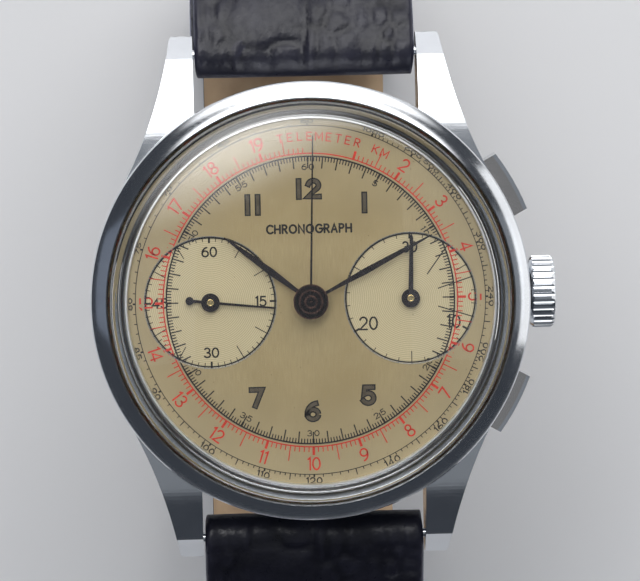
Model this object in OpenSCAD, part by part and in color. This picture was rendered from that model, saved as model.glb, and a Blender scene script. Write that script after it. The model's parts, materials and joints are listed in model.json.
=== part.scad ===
// Hand-wound chronograph wristwatch on a buckled leather strap.
// Origin: on the case axis, on the flat face of the case back. +Z is the dial, +Y is 12, +X is the crown.

/* [Case] */
// Outside diameter of the bezel
bezel_d = 35.4; // [35.2:0.1:35.8]
// Width between the lugs, which is the strap's width
lug_gap = 18; // [17.6:0.1:18]
// Distance from lug tip to lug tip
lug_to_lug = 42.4; // [42:0.1:43]
// Height of the top of the crystal above the case back
crystal_top = 12.8; // [12.6:0.1:13.2]
// Width of the polished ring of the bezel, seen from above
bezel_ring = 1.4; // [1.3:0.05:1.45]

/* [Dial and hands] */
// Radius of the dial plate
dial_r = 15.6; // [15.4:0.1:15.65]
// Distance from the watch's centre to each small dial's centre
small_dial_x = 8.03; // [8.03:0.01:8.05]
// Radius of each sunk small dial
small_dial_r = 5.33; // [5.2:0.01:5.4]
// Length of the hour hand
hour_len = 8.6; // [8:0.1:9]
// Length of the minute hand
minute_len = 11.05; // [10.5:0.05:11.5]
// Length of the chronograph seconds hand
chrono_len = 13.3; // [12.5:0.1:13.5]
// Length of the two small hands
small_hand_len = 5.2; // [4.5:0.1:5.2]

/* [Crown and pushers] */
// Diameter of the crown
crown_d = 5.85; // [5.6:0.05:6]
// Length of the crown along its axis
crown_len = 2.2; // [2:0.1:2.4]
// Number of flutes on the crown
crown_flutes = 30; // [24:1:36]
// Travel of the crown from winding to setting
crown_travel = 0.9; // [0.6:0.1:0.9]
// Angle of each push button from the crown's axis
pusher_angle = 28.8; // [28.5:0.1:29]
// Width of a push button's cap
pusher_w = 5.1; // [4.8:0.1:5.2]
// Radius of the outer faces of the push buttons
pusher_face_r = 19; // [18.8:0.1:19.2]

/* [Strap] */
// Thickness of the strap at the lugs
strap_thick_lug = 3.8; // [3.6:0.1:4.2]
// Thickness of the strap at the buckle
strap_thick_end = 2.2; // [2:0.1:2.3]
// Width of the strap at the buckle
strap_end_w = 16; // [15.6:0.1:16]
// Length of the tail beyond the buckle's bar
tail_len = 36; // [30:1:38]

/* [Movement] */
// Radius of the movement
movement_r = 14.6; // [14.5:0.05:14.6]
// Teeth of the centre and fourth wheels
centre_teeth = 80; // [80]
// Teeth of the third wheel
third_teeth = 75; // [75]
// Leaves of the third and fourth pinions
pinion_leaves = 10; // [10]

/* [Hidden] */

$fn = 64;
steel = [0.78, 0.79, 0.81];
dark_steel = [0.2, 0.2, 0.22];
brass = [0.85, 0.72, 0.42];
ruby = [0.75, 0.1, 0.25];
leather = [0.13, 0.12, 0.16];
cream = [0.86, 0.81, 0.68];
rubber = [0.08, 0.08, 0.08];

eps = 0.02;              // gap between two parts that are fitted together
run = 0.04;              // running clearance of a small shaft

// Case levels, from the case back upwards
bezel_r = bezel_d / 2;
band_r = bezel_r - 0.35;
back_face_z = 0.9;       // underside of the case middle
gasket_top_z = 1.25;
cavity_z = 1.45;
dial_seat_z = 7.4;
band_top_z = 7.9;
collar_top_z = 8.5;
bezel_top_z = 10;
cavity_r = 15.1;
dial_seat_r = dial_r + 0.15;
collar_r = 16.55;
back_boss_r = 15.5;
back_rim_r = 16.75;
gasket_r = 0.16;
gasket_mid_r = 15.72;

// Crystal
crystal_r = bezel_r - bezel_ring - 0.25;
crystal_foot_r = crystal_r + 0.25;
crystal_in_r = crystal_r - 0.8;
crystal_wall_z = 10.75;
crystal_thick = 1;
bezel_in_r = bezel_r - bezel_ring;

// Lugs and spring bars
lug_tip_y = lug_to_lug / 2;
lug_in_x = lug_gap / 2 + 0.05;
bar_y = 19.7;
bar_z = 2.6;
bar_r = 0.75;
bar_pivot_r = 0.4;
bar_pivot_len = 0.7;

// Crown, stem and push buttons
stem_z = 4.3;
crown_x = bezel_r;       // inner face of the crown, against the case
crown_r = crown_d / 2;
stem_r = 0.45;
tube_r = 1.4;
tube_bore_r = 0.75;
tube_out_x = crown_x + 0.6;
pusher_z = 4.1;
pusher_h = 2.7;
pusher_cap = 1.7;        // depth of a cap along its travel
pusher_travel = 0.8;
pusher_stem_r = 0.6;
pusher_tip_r = 13.9;
pocket_r = pusher_face_r - pusher_cap - pusher_travel - 0.15; // floor of the pocket that a cap sinks into

// Dial and hands levels
dial_z = 7.8;
dial_thick = 0.4;
small_dial_depth = 0.15;
small_hand_z = 7.9;
hour_z = 8.2;
minute_z = 8.6;
chrono_z = 9;
hand_t = 0.14;
hub_r = 1.41;
small_hub_r = 0.75;

// Coaxial arbors at the watch's centre
chrono_arbor_r = 0.2;
centre_tube_r = 0.42;
cannon_r = 0.68;
hour_pipe_r = 0.95;
arbor_r = 0.15;

// Movement levels
plate_z = 5.2;
plate_top_z = 6.2;
bridge_z = 2.95;
bridge_top_z = 3.4;
barrel_bridge_z = 3.5;
barrel_bridge_top_z = 3.9;
ratchet_z = 3;
ratchet_t = 0.35;
chrono_level = 2.1;
lever_level = 2.42;
wheel_t = 0.2;
chrono_bridge_z = 1.2;
chrono_bridge_t = 0.25;
cock_z = 2.5;            // underside of the balance cock

// Gear modules, and the places that follow from them
train_m = 0.105;
fourth_m = 0.09;
barrel_m = 0.138;
barrel_teeth = 78;
centre_leaves = 12;
escape_leaves = 8;
winding_m = 0.2;
ratchet_teeth = 47;
crown_wheel_teeth = 25;
chrono_m = 0.08;
runner_teeth = 75;
driving_teeth = 48;
coupling_teeth = 40;
counter_m = 0.16;
counter_teeth = 30;
transfer_teeth = 15;
cannon_leaves = 12;
cannon_m = 0.16;
minute_teeth = 36;
minute_leaves = 10;
hour_teeth = 40;

centre = [0, 0];
fourth_at = [-small_dial_x, 0];
counter_at = [small_dial_x, 0];
third_at = meeting(centre, mesh_distance(centre_teeth, pinion_leaves, train_m),
    fourth_at, mesh_distance(third_teeth, pinion_leaves, train_m), 1);
escape_at = fourth_at + polar(mesh_distance(centre_teeth, escape_leaves, fourth_m), 250);
barrel_at = polar(mesh_distance(barrel_teeth, centre_leaves, barrel_m), 50);
winding_mesh = [12.2, 0];    // where the winding pinion meets the crown wheel
crown_wheel_at = meeting(barrel_at, mesh_distance(ratchet_teeth, crown_wheel_teeth, winding_m),
    winding_mesh, crown_wheel_teeth * winding_m / 2, 1);
coupling_turn = 19.3;    // direction of the coupling wheel from the fourth arbor, chronograph stopped
coupling_at = fourth_at + polar(mesh_distance(driving_teeth, coupling_teeth, chrono_m), coupling_turn);
transfer_at = meeting(centre, 4.75, counter_at, mesh_distance(counter_teeth, transfer_teeth, counter_m), -1);
cannon_distance = mesh_distance(cannon_leaves, minute_teeth, cannon_m);
minute_at = polar(cannon_distance, -60);
hour_m = 2 * cannon_distance / (hour_teeth + minute_leaves);
balance_at = [-4.6, -8.8];
balance_r = 4.3;
pallet_at = escape_at + polar(3.1, angle_of(balance_at - escape_at));
column_at = [3.2, 11.2];
operating_at = [9.8, 8.9];
hammer_at = [1.2, -10.5];
click_at = barrel_at + polar(6.3, 75);
train_posts = [[-12.9, 1.8], [-6.5, 7.5], [-12.6, -3.6]];
barrel_posts = [[-1.6, 8.6], [8.2, 10.2]];
chrono_posts = [[12.9, -3.6], [-3, 5.5]];
cock_post = [-9.9, -9.3];
post_r = 0.8;
jewel_places = [third_at, escape_at, pallet_at, balance_at];

// Strap curve: heading and radius of each arc from a lug to the bottom of the loop
strap_start_heading = -20;
strap_lead = 2;
strap_arcs = [[11, -55], [60, -20], [17, -85]];
strap_flat_y = 13.32;    // where the flat bottom of the loop starts
strap_flat_z = -41.85;   // middle of the strap along that flat bottom
strap_bend_r = 17;
bend_centre = [strap_flat_y, strap_flat_z + strap_bend_r];
tail_drop = 2.4;         // from the middle of the short half to the middle of the tail below it
strap_len = 72;          // along the middle line, from a spring bar to the buckle's bar
tongue_slot_w = 2.4;
keeper_t = 0.9;
keeper_w = 4;
keeper_gap = 0.2;
frame_wire_r = 0.95;
frame_rim_y = -9.8;
frame_rim_z = -45.45;
frame_in_x = strap_end_w / 2 + 0.5;
buckle_bar_r = 0.6;
tongue_t = 0.9;
tongue_w = 1.7;

// ---- Helpers ----

function polar(r, a) = [r * cos(a), r * sin(a)];
function angle_of(v) = atan2(v.y, v.x);
function mesh_distance(teeth_a, teeth_b, m) = m * (teeth_a + teeth_b) / 2;

// Point at distance ra from a and rb from b, on the side that side picks
function meeting(a, ra, b, rb, side) =
    let (d = norm(b - a), along = (ra * ra - rb * rb + d * d) / (2 * d), off = sqrt(ra * ra - along * along))
    a + (b - a) * along / d + side * off * [-(b - a).y, (b - a).x] / d;

function arc(middle, r, from, to, steps) =
    [for (i = [0:steps]) middle + polar(r, from + (to - from) * i / steps)];

// Rotation that puts a tooth gap of this gear where a tooth of its neighbour points
function gap_phase(teeth, direction) = direction + 180 / teeth;

module at(p, z = 0) translate([p.x, p.y, z]) children();
module along_x(x, z = 0) translate([x, 0, z]) rotate([0, 90, 0]) children();
module ring(r, bore, h) {
    difference() {
        cylinder(r = r, h = h);
        translate([0, 0, -1]) cylinder(r = bore, h = h + 2);
    }
}

module gear_outline(teeth, m) {
    pitch_r = teeth * m / 2;
    step = 360 / teeth;
    root_r = pitch_r - 1.25 * m;
    tip_r = pitch_r + 0.85 * m;
    polygon([for (i = [0:teeth - 1]) each [
        polar(root_r, (i - 0.3) * step),
        polar(tip_r, (i - 0.1) * step),
        polar(tip_r, (i + 0.1) * step),
        polar(root_r, (i + 0.3) * step)]]);
}

module gear(teeth, m, h, phase = 0) rotate(phase) linear_extrude(h) gear_outline(teeth, m);

// A gear with a bored hub and round crossings
module train_wheel(teeth, m, h, phase, crossings) {
    pitch_r = teeth * m / 2;
    window_r = pitch_r * 0.26;
    difference() {
        gear(teeth, m, h, phase);
        for (i = [1:crossings]) rotate(i * 360 / crossings)
            translate([pitch_r * 0.56, 0, -1]) cylinder(r = window_r, h = h + 2);
    }
}

module bar_2d(a, b, w) {
    translate(a) rotate(angle_of(b - a)) translate([0, eps - w / 2]) square([norm(b - a), w - 2 * eps]);
    for (p = [a, b]) translate(p) circle(d = w);
}

// ---- Case ----

module lug_top_outline() {
    outer_root = [14.2, 10.8];
    outer_tip = [10.95, 20.9];
    sweep_r = 36;
    root_y = 11.5;
    mid = (outer_root + outer_tip) / 2;
    half = norm(outer_tip - outer_root) / 2;
    away = [(outer_tip - outer_root).y, -(outer_tip - outer_root).x] / (2 * half);
    difference() {
        polygon([[lug_in_x, root_y], [lug_in_x, lug_tip_y], [outer_tip.x - 0.15, lug_tip_y],
            outer_tip, outer_root + [1, 0], [15, 9.5], [12, 9.5]]);
        translate(mid + away * sqrt(sweep_r * sweep_r - half * half)) circle(r = sweep_r, $fn = 200);
    }
}

module lug_side_outline() {
    crest = [12, band_top_z - 0.1];
    fall_r = 12.5;
    polygon(concat(
        [[9, back_face_z + 0.35], [9, crest.y]],
        arc([crest.x, crest.y - fall_r], fall_r, 90, 53, 28),
        [[lug_tip_y, 2.9], [lug_tip_y, 1.5], [lug_tip_y - 0.5, 0.75], [18.5, 0.8],
            [14.5, back_face_z + 0.3]]));
}

module lug() {
    intersection() {
        linear_extrude(10) lug_top_outline();
        rotate([90, 0, 90]) linear_extrude(20) lug_side_outline();
    }
}

module case_band() {
    rotate_extrude($fn = 128) polygon([
        [gasket_mid_r + 0.23, back_face_z], [gasket_mid_r + 0.23, gasket_top_z], [dial_r, gasket_top_z],
        [dial_r, cavity_z], [cavity_r, cavity_z], [cavity_r, dial_seat_z], [dial_seat_r, dial_seat_z],
        [dial_seat_r, collar_top_z], [collar_r, collar_top_z], [collar_r, band_top_z],
        [band_r - 0.1, band_top_z], [band_r, band_top_z - 0.1], [band_r, 2.2], [band_r - 0.25, 1.4],
        [back_rim_r, back_face_z]]);
}

module pusher_pocket() {
    translate([pocket_r, -pusher_w / 2 - 0.1, pusher_z - pusher_h / 2 - 0.1])
        cube([3, pusher_w + 0.2, pusher_h + 0.2]);
    along_x(12, pusher_z) cylinder(r = 1.2, h = 5);
}

module at_pushers() {
    for (a = [pusher_angle, -pusher_angle]) rotate(a) children();
}

module case_middle() color(steel) {
    bar_hole_len = 2 * (lug_in_x + bar_pivot_len + eps);
    difference() {
        union() {
            case_band();
            difference() {
                for (x = [0, 1], y = [0, 1]) mirror([x, 0, 0]) mirror([0, y, 0]) lug();
                translate([0, 0, -1]) cylinder(r = 16.4, h = 12, $fn = 128);
            }
        }
        at_pushers() pusher_pocket();
        along_x(12, stem_z) cylinder(r = tube_r, h = 8);
        for (y = [-bar_y, bar_y]) translate([0, y, bar_z]) rotate([0, 90, 0])
            cylinder(r = bar_pivot_r + eps, h = bar_hole_len, center = true, $fn = 24);
    }
}

module bezel() color(steel) {
    lip_r = crystal_r + 0.07;
    slope_z = 9.15;      // where the polished slope starts; it rises a little convex to the inner edge
    steps = 16;
    rotate_extrude($fn = 128) polygon(concat(
        [[collar_r + 0.1, band_top_z + eps], [bezel_r - 0.2, band_top_z + eps], [bezel_r, band_top_z + 0.2],
            [bezel_r, slope_z - 0.2]],
        [for (i = [0:steps]) let (t = i / steps) [bezel_r - 0.1 - t * (bezel_ring - 0.25),
            slope_z + (bezel_top_z - slope_z) * t * (1.3 - 0.3 * t)]],
        [[bezel_in_r, bezel_top_z - 0.05], [lip_r, 9.6], [lip_r, collar_top_z + 0.45],
            [collar_r + 0.1, collar_top_z + 0.45]]));
}

module crystal() color([0.9, 0.93, 0.95, 0.3]) {
    shoulder = 0.45;
    rim_r = crystal_r - shoulder;
    rim_z = crystal_wall_z + shoulder * 0.8;
    rise = crystal_top - rim_z;
    dome_r = (rim_r * rim_r + rise * rise) / (2 * rise);
    half = asin(rim_r / dome_r);
    inner_r = crystal_in_r - shoulder;
    inner_half = asin(inner_r / (dome_r - crystal_thick));
    dome_middle = [0, crystal_top - dome_r];
    rotate_extrude($fn = 128) polygon(concat(
        [[crystal_in_r, collar_top_z + eps], [crystal_foot_r, collar_top_z + eps],
            [crystal_foot_r, collar_top_z + 0.4], [crystal_r, collar_top_z + 0.4],
            [crystal_r, crystal_wall_z]],
        arc([crystal_r - shoulder, crystal_wall_z - 0.1], shoulder, 10, 60, 4),
        arc(dome_middle, dome_r, 90 - half, 90, 12),
        arc(dome_middle, dome_r - crystal_thick, 90, 90 - inner_half, 12),
        [[crystal_in_r, crystal_wall_z - crystal_thick - 0.2]]));
}

module tension_ring() color(steel)
    translate([0, 0, dial_z + 0.05]) ring(crystal_in_r - 0.05, crystal_in_r - 0.3, 1, $fn = 128);

module case_back() color(steel) {
    flat_r = 14.2;
    notch_w = 3;
    difference() {
        rotate_extrude($fn = 128) polygon([
            [0, 0], [flat_r, 0], [15.9, 0.3], [back_rim_r, 0.55], [back_rim_r, back_face_z - eps],
            [back_boss_r, back_face_z - eps], [back_boss_r, gasket_top_z], [back_boss_r - 0.8, gasket_top_z],
            [back_boss_r - 0.8, 0.7], [0, 0.7]]);
        translate([-notch_w / 2, -back_rim_r - 1, 0.55]) cube([notch_w, 1.4, 1]);
    }
}

module case_back_gasket() color(rubber)
    translate([0, 0, (back_face_z + gasket_top_z) / 2]) rotate_extrude($fn = 96)
        translate([gasket_mid_r, 0]) circle(r = gasket_r, $fn = 16);

module movement_ring() color(steel) {
    difference() {
        translate([0, 0, 2.2]) ring(cavity_r - 0.05, movement_r + 0.05, dial_seat_z - 2.25, $fn = 128);
        at_pushers() along_x(12, pusher_z) cylinder(r = 1.35, h = 5);
        along_x(12, stem_z) cylinder(r = tube_r + 0.1, h = 8);
    }
}

module crown_tube() color(steel)
    along_x(cavity_r, stem_z) ring(tube_r - eps / 2, tube_bore_r, tube_out_x - cavity_r);

module pusher_tubes() color(steel)
    at_pushers() along_x(cavity_r + 0.1, pusher_z)
        ring(1.2 - eps / 2, pusher_stem_r + 0.05, pocket_r - cavity_r - 0.2);

module spring_bars() color(steel)
    for (y = [-bar_y, bar_y]) translate([0, y, bar_z]) rotate([0, 90, 0]) {
        cylinder(r = bar_r, h = lug_gap - 0.6, center = true, $fn = 32);
        cylinder(r = bar_pivot_r, h = lug_gap + 0.1 + 2 * bar_pivot_len, center = true, $fn = 24);
    }

// ---- Dial and hands ----

module dial() color(cream) {
    foot_r = 0.4;
    difference() {
        translate([0, 0, dial_z - dial_thick]) cylinder(r = dial_r, h = dial_thick, $fn = 128);
        translate([0, 0, 6]) cylinder(r = hour_pipe_r + 0.1, h = 3);
        for (p = [fourth_at, counter_at]) {
            at(p, dial_z - small_dial_depth) cylinder(r = small_dial_r, h = 1, $fn = 96);
            at(p, 6) cylinder(r = 0.35, h = 3);
        }
    }
    for (a = [110, 290]) rotate(a) translate([12.9, 0, plate_z + 0.3])
        cylinder(r = foot_r, h = dial_seat_z - plate_z - 0.3 + eps);
}

// Places a hand that is drawn along +Y at an angle clockwise from 12
module clockwise(a) rotate(-a) children();

module leaf_outline(len, w, stem_w) {
    belly = 0.45;
    polygon([[-stem_w / 2, 0], [-stem_w / 2, len * 0.18], [-w / 2, len * belly], [-w * 0.36, len * 0.75],
        [-0.04, len], [0.04, len], [w * 0.36, len * 0.75], [w / 2, len * belly], [stem_w / 2, len * 0.18],
        [stem_w / 2, 0]]);
}

module hour_hand() color(dark_steel) {
    translate([0, 0, hour_z]) difference() {
        union() {
            cylinder(r = hub_r - 0.1, h = hand_t);
            clockwise(307.4) linear_extrude(hand_t) leaf_outline(hour_len, 0.56, 0.34);
        }
        translate([0, 0, -1]) cylinder(r = hour_pipe_r, h = 3);
    }
}

module minute_hand() color(dark_steel) {
    translate([0, 0, minute_z]) difference() {
        union() {
            cylinder(r = hub_r - 0.1, h = hand_t);
            clockwise(62.4) linear_extrude(hand_t) leaf_outline(minute_len, 0.5, 0.26);
        }
        translate([0, 0, -1]) cylinder(r = cannon_r, h = 3);
    }
}

module chrono_seconds_hand() color(dark_steel) {
    cap_h = 0.4;
    groove_r = 0.95;
    difference() {
        union() {
            translate([0, 0, chrono_z]) cylinder(r = hub_r, h = cap_h, $fn = 96);
            translate([0, 0, chrono_z]) clockwise(1.76) linear_extrude(hand_t)
                polygon([[-0.09, 0], [-0.05, chrono_len], [0.05, chrono_len], [0.09, 0]]);
        }
        translate([0, 0, chrono_z + cap_h - 0.08]) ring(groove_r + 0.08, groove_r, 1);
        translate([0, 0, chrono_z - 1]) cylinder(r = chrono_arbor_r, h = 1.2);
    }
}

module small_seconds_hand() color(dark_steel) {
    tail = 1.67;
    at(fourth_at, small_hand_z) difference() {
        union() {
            cylinder(r = small_hub_r, h = 0.22);
            clockwise(96) linear_extrude(hand_t) {
                polygon([[-0.12, -tail], [-0.07, small_hand_len], [0.07, small_hand_len], [0.12, -tail]]);
                translate([0, -tail]) circle(r = 0.33, $fn = 32);
            }
        }
        translate([0, 0, -1]) cylinder(r = arbor_r, h = 3);
    }
}

module minute_counter_hand() color(dark_steel) {
    at(counter_at, small_hand_z) difference() {
        union() {
            cylinder(r = small_hub_r, h = 0.22);
            clockwise(1.7) linear_extrude(hand_t)
                polygon([[-0.2, 0], [-0.14, small_hand_len - 0.3], [0, small_hand_len],
                    [0.14, small_hand_len - 0.3], [0.2, 0]]);
        }
        translate([0, 0, -1]) cylinder(r = arbor_r, h = 3);
    }
}

// ---- Plates and bridges ----

module main_plate() color(brass) {
    jewel_r = 0.55;
    difference() {
        translate([0, 0, plate_z]) cylinder(r = movement_r, h = plate_top_z - plate_z, $fn = 128);
        translate([0, 0, plate_z - 1]) cylinder(r = centre_tube_r + run, h = 4);
        for (p = [fourth_at, counter_at]) at(p, plate_z - 1) cylinder(r = arbor_r + run, h = 4);
        at(barrel_at, plate_z - 1) cylinder(r = 0.6, h = 4);
        for (p = jewel_places) at(p, plate_z - 1) cylinder(r = jewel_r, h = 4);
        for (a = [110, 290]) rotate(a) translate([12.9, 0, plate_z - 1]) cylinder(r = 0.42, h = 4);
    }
    at(minute_at, plate_top_z - eps) cylinder(r = 0.3, h = 1, $fn = 32);
    at(operating_at, lever_level - 0.2) cylinder(r = 0.4, h = plate_z - lever_level + 0.2 + eps);
    at(hammer_at, lever_level - 0.2) cylinder(r = 0.4, h = plate_z - lever_level + 0.2 + eps);
}

module barrel_bridge() color(brass) {
    difference() {
        union() {
            translate([0, 0, barrel_bridge_z]) linear_extrude(barrel_bridge_top_z - barrel_bridge_z)
                difference() {
                    union() {
                        translate(barrel_at) circle(r = 5.5, $fn = 96);
                        for (p = barrel_posts) bar_2d(barrel_at, p, 2);
                        for (p = [crown_wheel_at, click_at]) bar_2d(barrel_at, p, 1.6);
                        bar_2d(barrel_at, column_at, 1.6);
                    }
                    circle(r = 4.7, $fn = 96);
                }
            for (p = barrel_posts) at(p, barrel_bridge_z) cylinder(r = post_r, h = plate_z - barrel_bridge_z);
            at(crown_wheel_at, ratchet_z) cylinder(r = 0.5, h = 0.6);
            at(click_at, ratchet_z) cylinder(r = 0.35, h = 0.6);
            at(column_at, chrono_level - 0.4) cylinder(r = 0.35, h = barrel_bridge_z - chrono_level + 0.5);
        }
        at(barrel_at, 0) cylinder(r = 0.6, h = 9);
    }
}

module train_bridge() color(brass) {
    translate([0, 0, bridge_z]) linear_extrude(bridge_top_z - bridge_z) difference() {
        intersection() {
            circle(r = movement_r - 0.4, $fn = 128);
            translate([-15, -5.6]) square([16.2, 14.6]);
        }
        translate(barrel_at) circle(r = 5.3, $fn = 96);
        translate(balance_at) circle(r = balance_r + 0.4, $fn = 96);
        circle(r = centre_tube_r + run);
        for (p = [third_at, fourth_at, escape_at]) translate(p) circle(r = arbor_r + run, $fn = 24);
        for (p = barrel_posts) translate(p) circle(r = post_r + 0.1);
    }
    for (p = train_posts) at(p, bridge_top_z - eps) cylinder(r = post_r, h = plate_z - bridge_top_z + eps);
}

module chronograph_bridge() color(brass) {
    translate([0, 0, chrono_bridge_z]) linear_extrude(chrono_bridge_t) difference() {
        union() {
            bar_2d(centre, counter_at, 1.8);
            bar_2d(counter_at, chrono_posts[0], 1.8);
            bar_2d(centre, chrono_posts[1], 1.8);
            bar_2d(centre, transfer_at, 1.4);
        }
        for (p = [centre, counter_at, transfer_at]) translate(p) circle(r = arbor_r + run, $fn = 24);
    }
    at(chrono_posts[0], chrono_bridge_z + 0.1) cylinder(r = post_r, h = plate_z - chrono_bridge_z - 0.1);
    at(chrono_posts[1], chrono_bridge_z + 0.1) cylinder(r = post_r, h = bridge_z - chrono_bridge_z - 0.1);
}

module balance_cock() color(brass) {
    cock_t = 0.4;
    stud_at = balance_at + polar(2.35, 45);
    translate([0, 0, cock_z]) linear_extrude(cock_t) difference() {
        union() {
            bar_2d(cock_post, balance_at, 2);
            bar_2d(balance_at, stud_at, 0.7);
        }
        translate(balance_at) circle(r = arbor_r + run, $fn = 24);
    }
    at(cock_post, cock_z + cock_t - eps) cylinder(r = 0.9, h = plate_z - cock_z - cock_t + eps);
    at(stud_at, cock_z + 0.1) cylinder(r = 0.25, h = 0.75, $fn = 24);
}

module screw(head_r, head_h) {
    difference() {
        cylinder(r = head_r, h = head_h, $fn = 32);
        translate([-head_r, -0.08, -0.02]) cube([2 * head_r, 0.16, head_h / 2]);
    }
}

module bridge_screws() color([0.25, 0.3, 0.6]) {
    head_h = 0.22;
    head_r = 0.62;
    for (p = train_posts) at(p, bridge_z - head_h) screw(head_r, head_h);
    for (p = barrel_posts) at(p, barrel_bridge_z - head_h) screw(head_r, head_h);
    for (p = chrono_posts) at(p, chrono_bridge_z - head_h) screw(head_r, head_h);
    at(cock_post, cock_z - head_h) screw(head_r, head_h);
}

module jewels() color(ruby)
    for (p = jewel_places) at(p, plate_z + 0.2) ring(0.54, arbor_r + run, 0.6, $fn = 32);

// ---- Going train ----

module barrel() color(brass) at(barrel_at) {
    drum_z = 3.98;
    drum_h = 1.16;
    difference() {
        union() {
            translate([0, 0, drum_z]) cylinder(r = 5, h = drum_h, $fn = 96);
            translate([0, 0, 4.05]) gear(barrel_teeth, barrel_m, 0.25, angle_of(-barrel_at));
        }
        translate([0, 0, drum_z + 0.2]) cylinder(r = 4.6, h = drum_h - 0.4, $fn = 96);
        translate([0, 0, drum_z - 1]) cylinder(r = 0.6, h = 4);
    }
}

// Spiral ribbon from radius r0 to r1 in a number of turns
module spiral(r0, r1, turns, thick, h) {
    steps = turns * 24;
    path = [for (i = [0:steps]) [r0 + (r1 - r0) * i / steps, i * 15]];
    linear_extrude(h) polygon(concat(
        [for (p = path) polar(p[0], p[1])],
        [for (i = [steps:-1:0]) polar(path[i][0] + thick, path[i][1])]));
}

module mainspring() color(steel) at(barrel_at, 4.3) spiral(0.7, 4.3, 6, 0.16, 0.5);

module ratchet_wheel() color(steel) at(barrel_at) {
    translate([0, 0, ratchet_z]) gear(ratchet_teeth, winding_m, ratchet_t,
        gap_phase(ratchet_teeth, angle_of(crown_wheel_at - barrel_at)));
    translate([0, 0, ratchet_z]) cylinder(r = 0.55, h = 2.9, $fn = 48);
}

module crown_wheel() color(steel) at(crown_wheel_at, ratchet_z) difference() {
    gear(crown_wheel_teeth, winding_m, ratchet_t, angle_of(barrel_at - crown_wheel_at));
    translate([0, 0, -1]) cylinder(r = 0.55, h = 3);
}

module click() color(steel) at(click_at, ratchet_z) difference() {
    beak = polar(1.95, angle_of(barrel_at - click_at) + 40);
    linear_extrude(ratchet_t) {
        circle(r = 0.75);
        polygon([polar(0.7, angle_of(beak) + 70), beak, polar(0.7, angle_of(beak) - 70)]);
    }
    translate([0, 0, -1]) cylinder(r = 0.4, h = 3);
}

module centre_wheel() color(brass) difference() {
    union() {
        translate([0, 0, 3.6]) train_wheel(centre_teeth, train_m, 0.25, angle_of(third_at), 5);
        translate([0, 0, 3.95]) gear(centre_leaves, barrel_m, 0.4,
            gap_phase(centre_leaves, angle_of(barrel_at)));
        translate([0, 0, 3.05]) cylinder(r = centre_tube_r, h = 5.4);
    }
    translate([0, 0, 1]) cylinder(r = chrono_arbor_r + run, h = 9);
}

module third_wheel() color(brass) at(third_at) {
    translate([0, 0, 4.4]) train_wheel(third_teeth, train_m, wheel_t, angle_of(fourth_at - third_at), 5);
    translate([0, 0, 3.5]) gear(pinion_leaves, train_m, 0.5, gap_phase(pinion_leaves, angle_of(-third_at)));
    translate([0, 0, 3.1]) cylinder(r = arbor_r, h = 2.8, $fn = 24);
    translate([0, 0, 3.9]) cylinder(r = 0.3, h = 0.6, $fn = 24);
}

module fourth_wheel() color(brass) at(fourth_at) {
    translate([0, 0, 4.85]) train_wheel(centre_teeth, fourth_m, wheel_t, angle_of(escape_at - fourth_at), 5);
    translate([0, 0, 4.3]) gear(pinion_leaves, train_m, 0.4,
        gap_phase(pinion_leaves, angle_of(third_at - fourth_at)));
    translate([0, 0, chrono_level]) gear(driving_teeth, chrono_m, wheel_t, coupling_turn);
    translate([0, 0, 1.6]) cylinder(r = arbor_r, h = small_hand_z + 0.22 - 1.6, $fn = 24);
    translate([0, 0, 4.6]) cylinder(r = 0.3, h = 0.4, $fn = 24);
}

module escape_wheel() color(steel) at(escape_at) {
    teeth = 15;
    step = 360 / teeth;
    tip_r = 2.2;
    translate([0, 0, 3.88]) difference() {
        linear_extrude(wheel_t) polygon([for (i = [0:teeth - 1]) each [
            polar(tip_r * 0.78, i * step), polar(tip_r, i * step + 9), polar(tip_r, i * step + 12),
            polar(tip_r * 0.78, i * step + 10)]]);
        for (i = [1:4]) rotate(i * 90) translate([1.05, 0, -1]) cylinder(r = 0.45, h = 3);
    }
    translate([0, 0, 4.75]) gear(escape_leaves, fourth_m, 0.36,
        gap_phase(escape_leaves, angle_of(fourth_at - escape_at)));
    translate([0, 0, 3.1]) cylinder(r = arbor_r, h = 2.8, $fn = 24);
}

module pallet_fork() color(steel) at(pallet_at) rotate(angle_of(balance_at - pallet_at)) {
    fork_z = 3.9;
    translate([0, 0, fork_z]) linear_extrude(0.16) {
        bar_2d([0, 0], [2.3, 0], 0.3);
        bar_2d([2.3, 0], [2.65, 0.3], 0.16);
        bar_2d([2.3, 0], [2.65, -0.3], 0.16);
        bar_2d([0, 0], [-0.55, 0.95], 0.3);
        bar_2d([0, 0], [-0.55, -0.95], 0.3);
        circle(r = 0.4);
    }
    translate([0, 0, fork_z - 0.08]) cylinder(r = arbor_r, h = 1.98, $fn = 24);
}

module balance_wheel() color(brass) at(balance_at) {
    translate([0, 0, 3.45]) {
        ring(balance_r, balance_r - 0.55, 0.28, $fn = 96);
        linear_extrude(0.2) {
            bar_2d([-balance_r + 0.4, 0], [balance_r - 0.4, 0], 0.5);
            circle(r = 0.6);
        }
    }
    translate([0, 0, 2.55]) cylinder(r = arbor_r, h = 3.2, $fn = 24);
    translate([0, 0, 3.8]) cylinder(r = 0.5, h = 0.1, $fn = 32);
}

module hairspring() color([0.2, 0.3, 0.6]) at(balance_at, 3.05) spiral(0.4, 2.1, 5, 0.06, 0.15);

// ---- Hand-setting works, under the dial ----

module cannon_pinion() color(steel) difference() {
    union() {
        translate([0, 0, 6.3]) gear(cannon_leaves, cannon_m, 0.4, angle_of(minute_at));
        translate([0, 0, 6.25]) cylinder(r = cannon_r, h = minute_z + hand_t - 6.25);
    }
    translate([0, 0, 5]) cylinder(r = centre_tube_r + run, h = 6);
}

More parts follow.
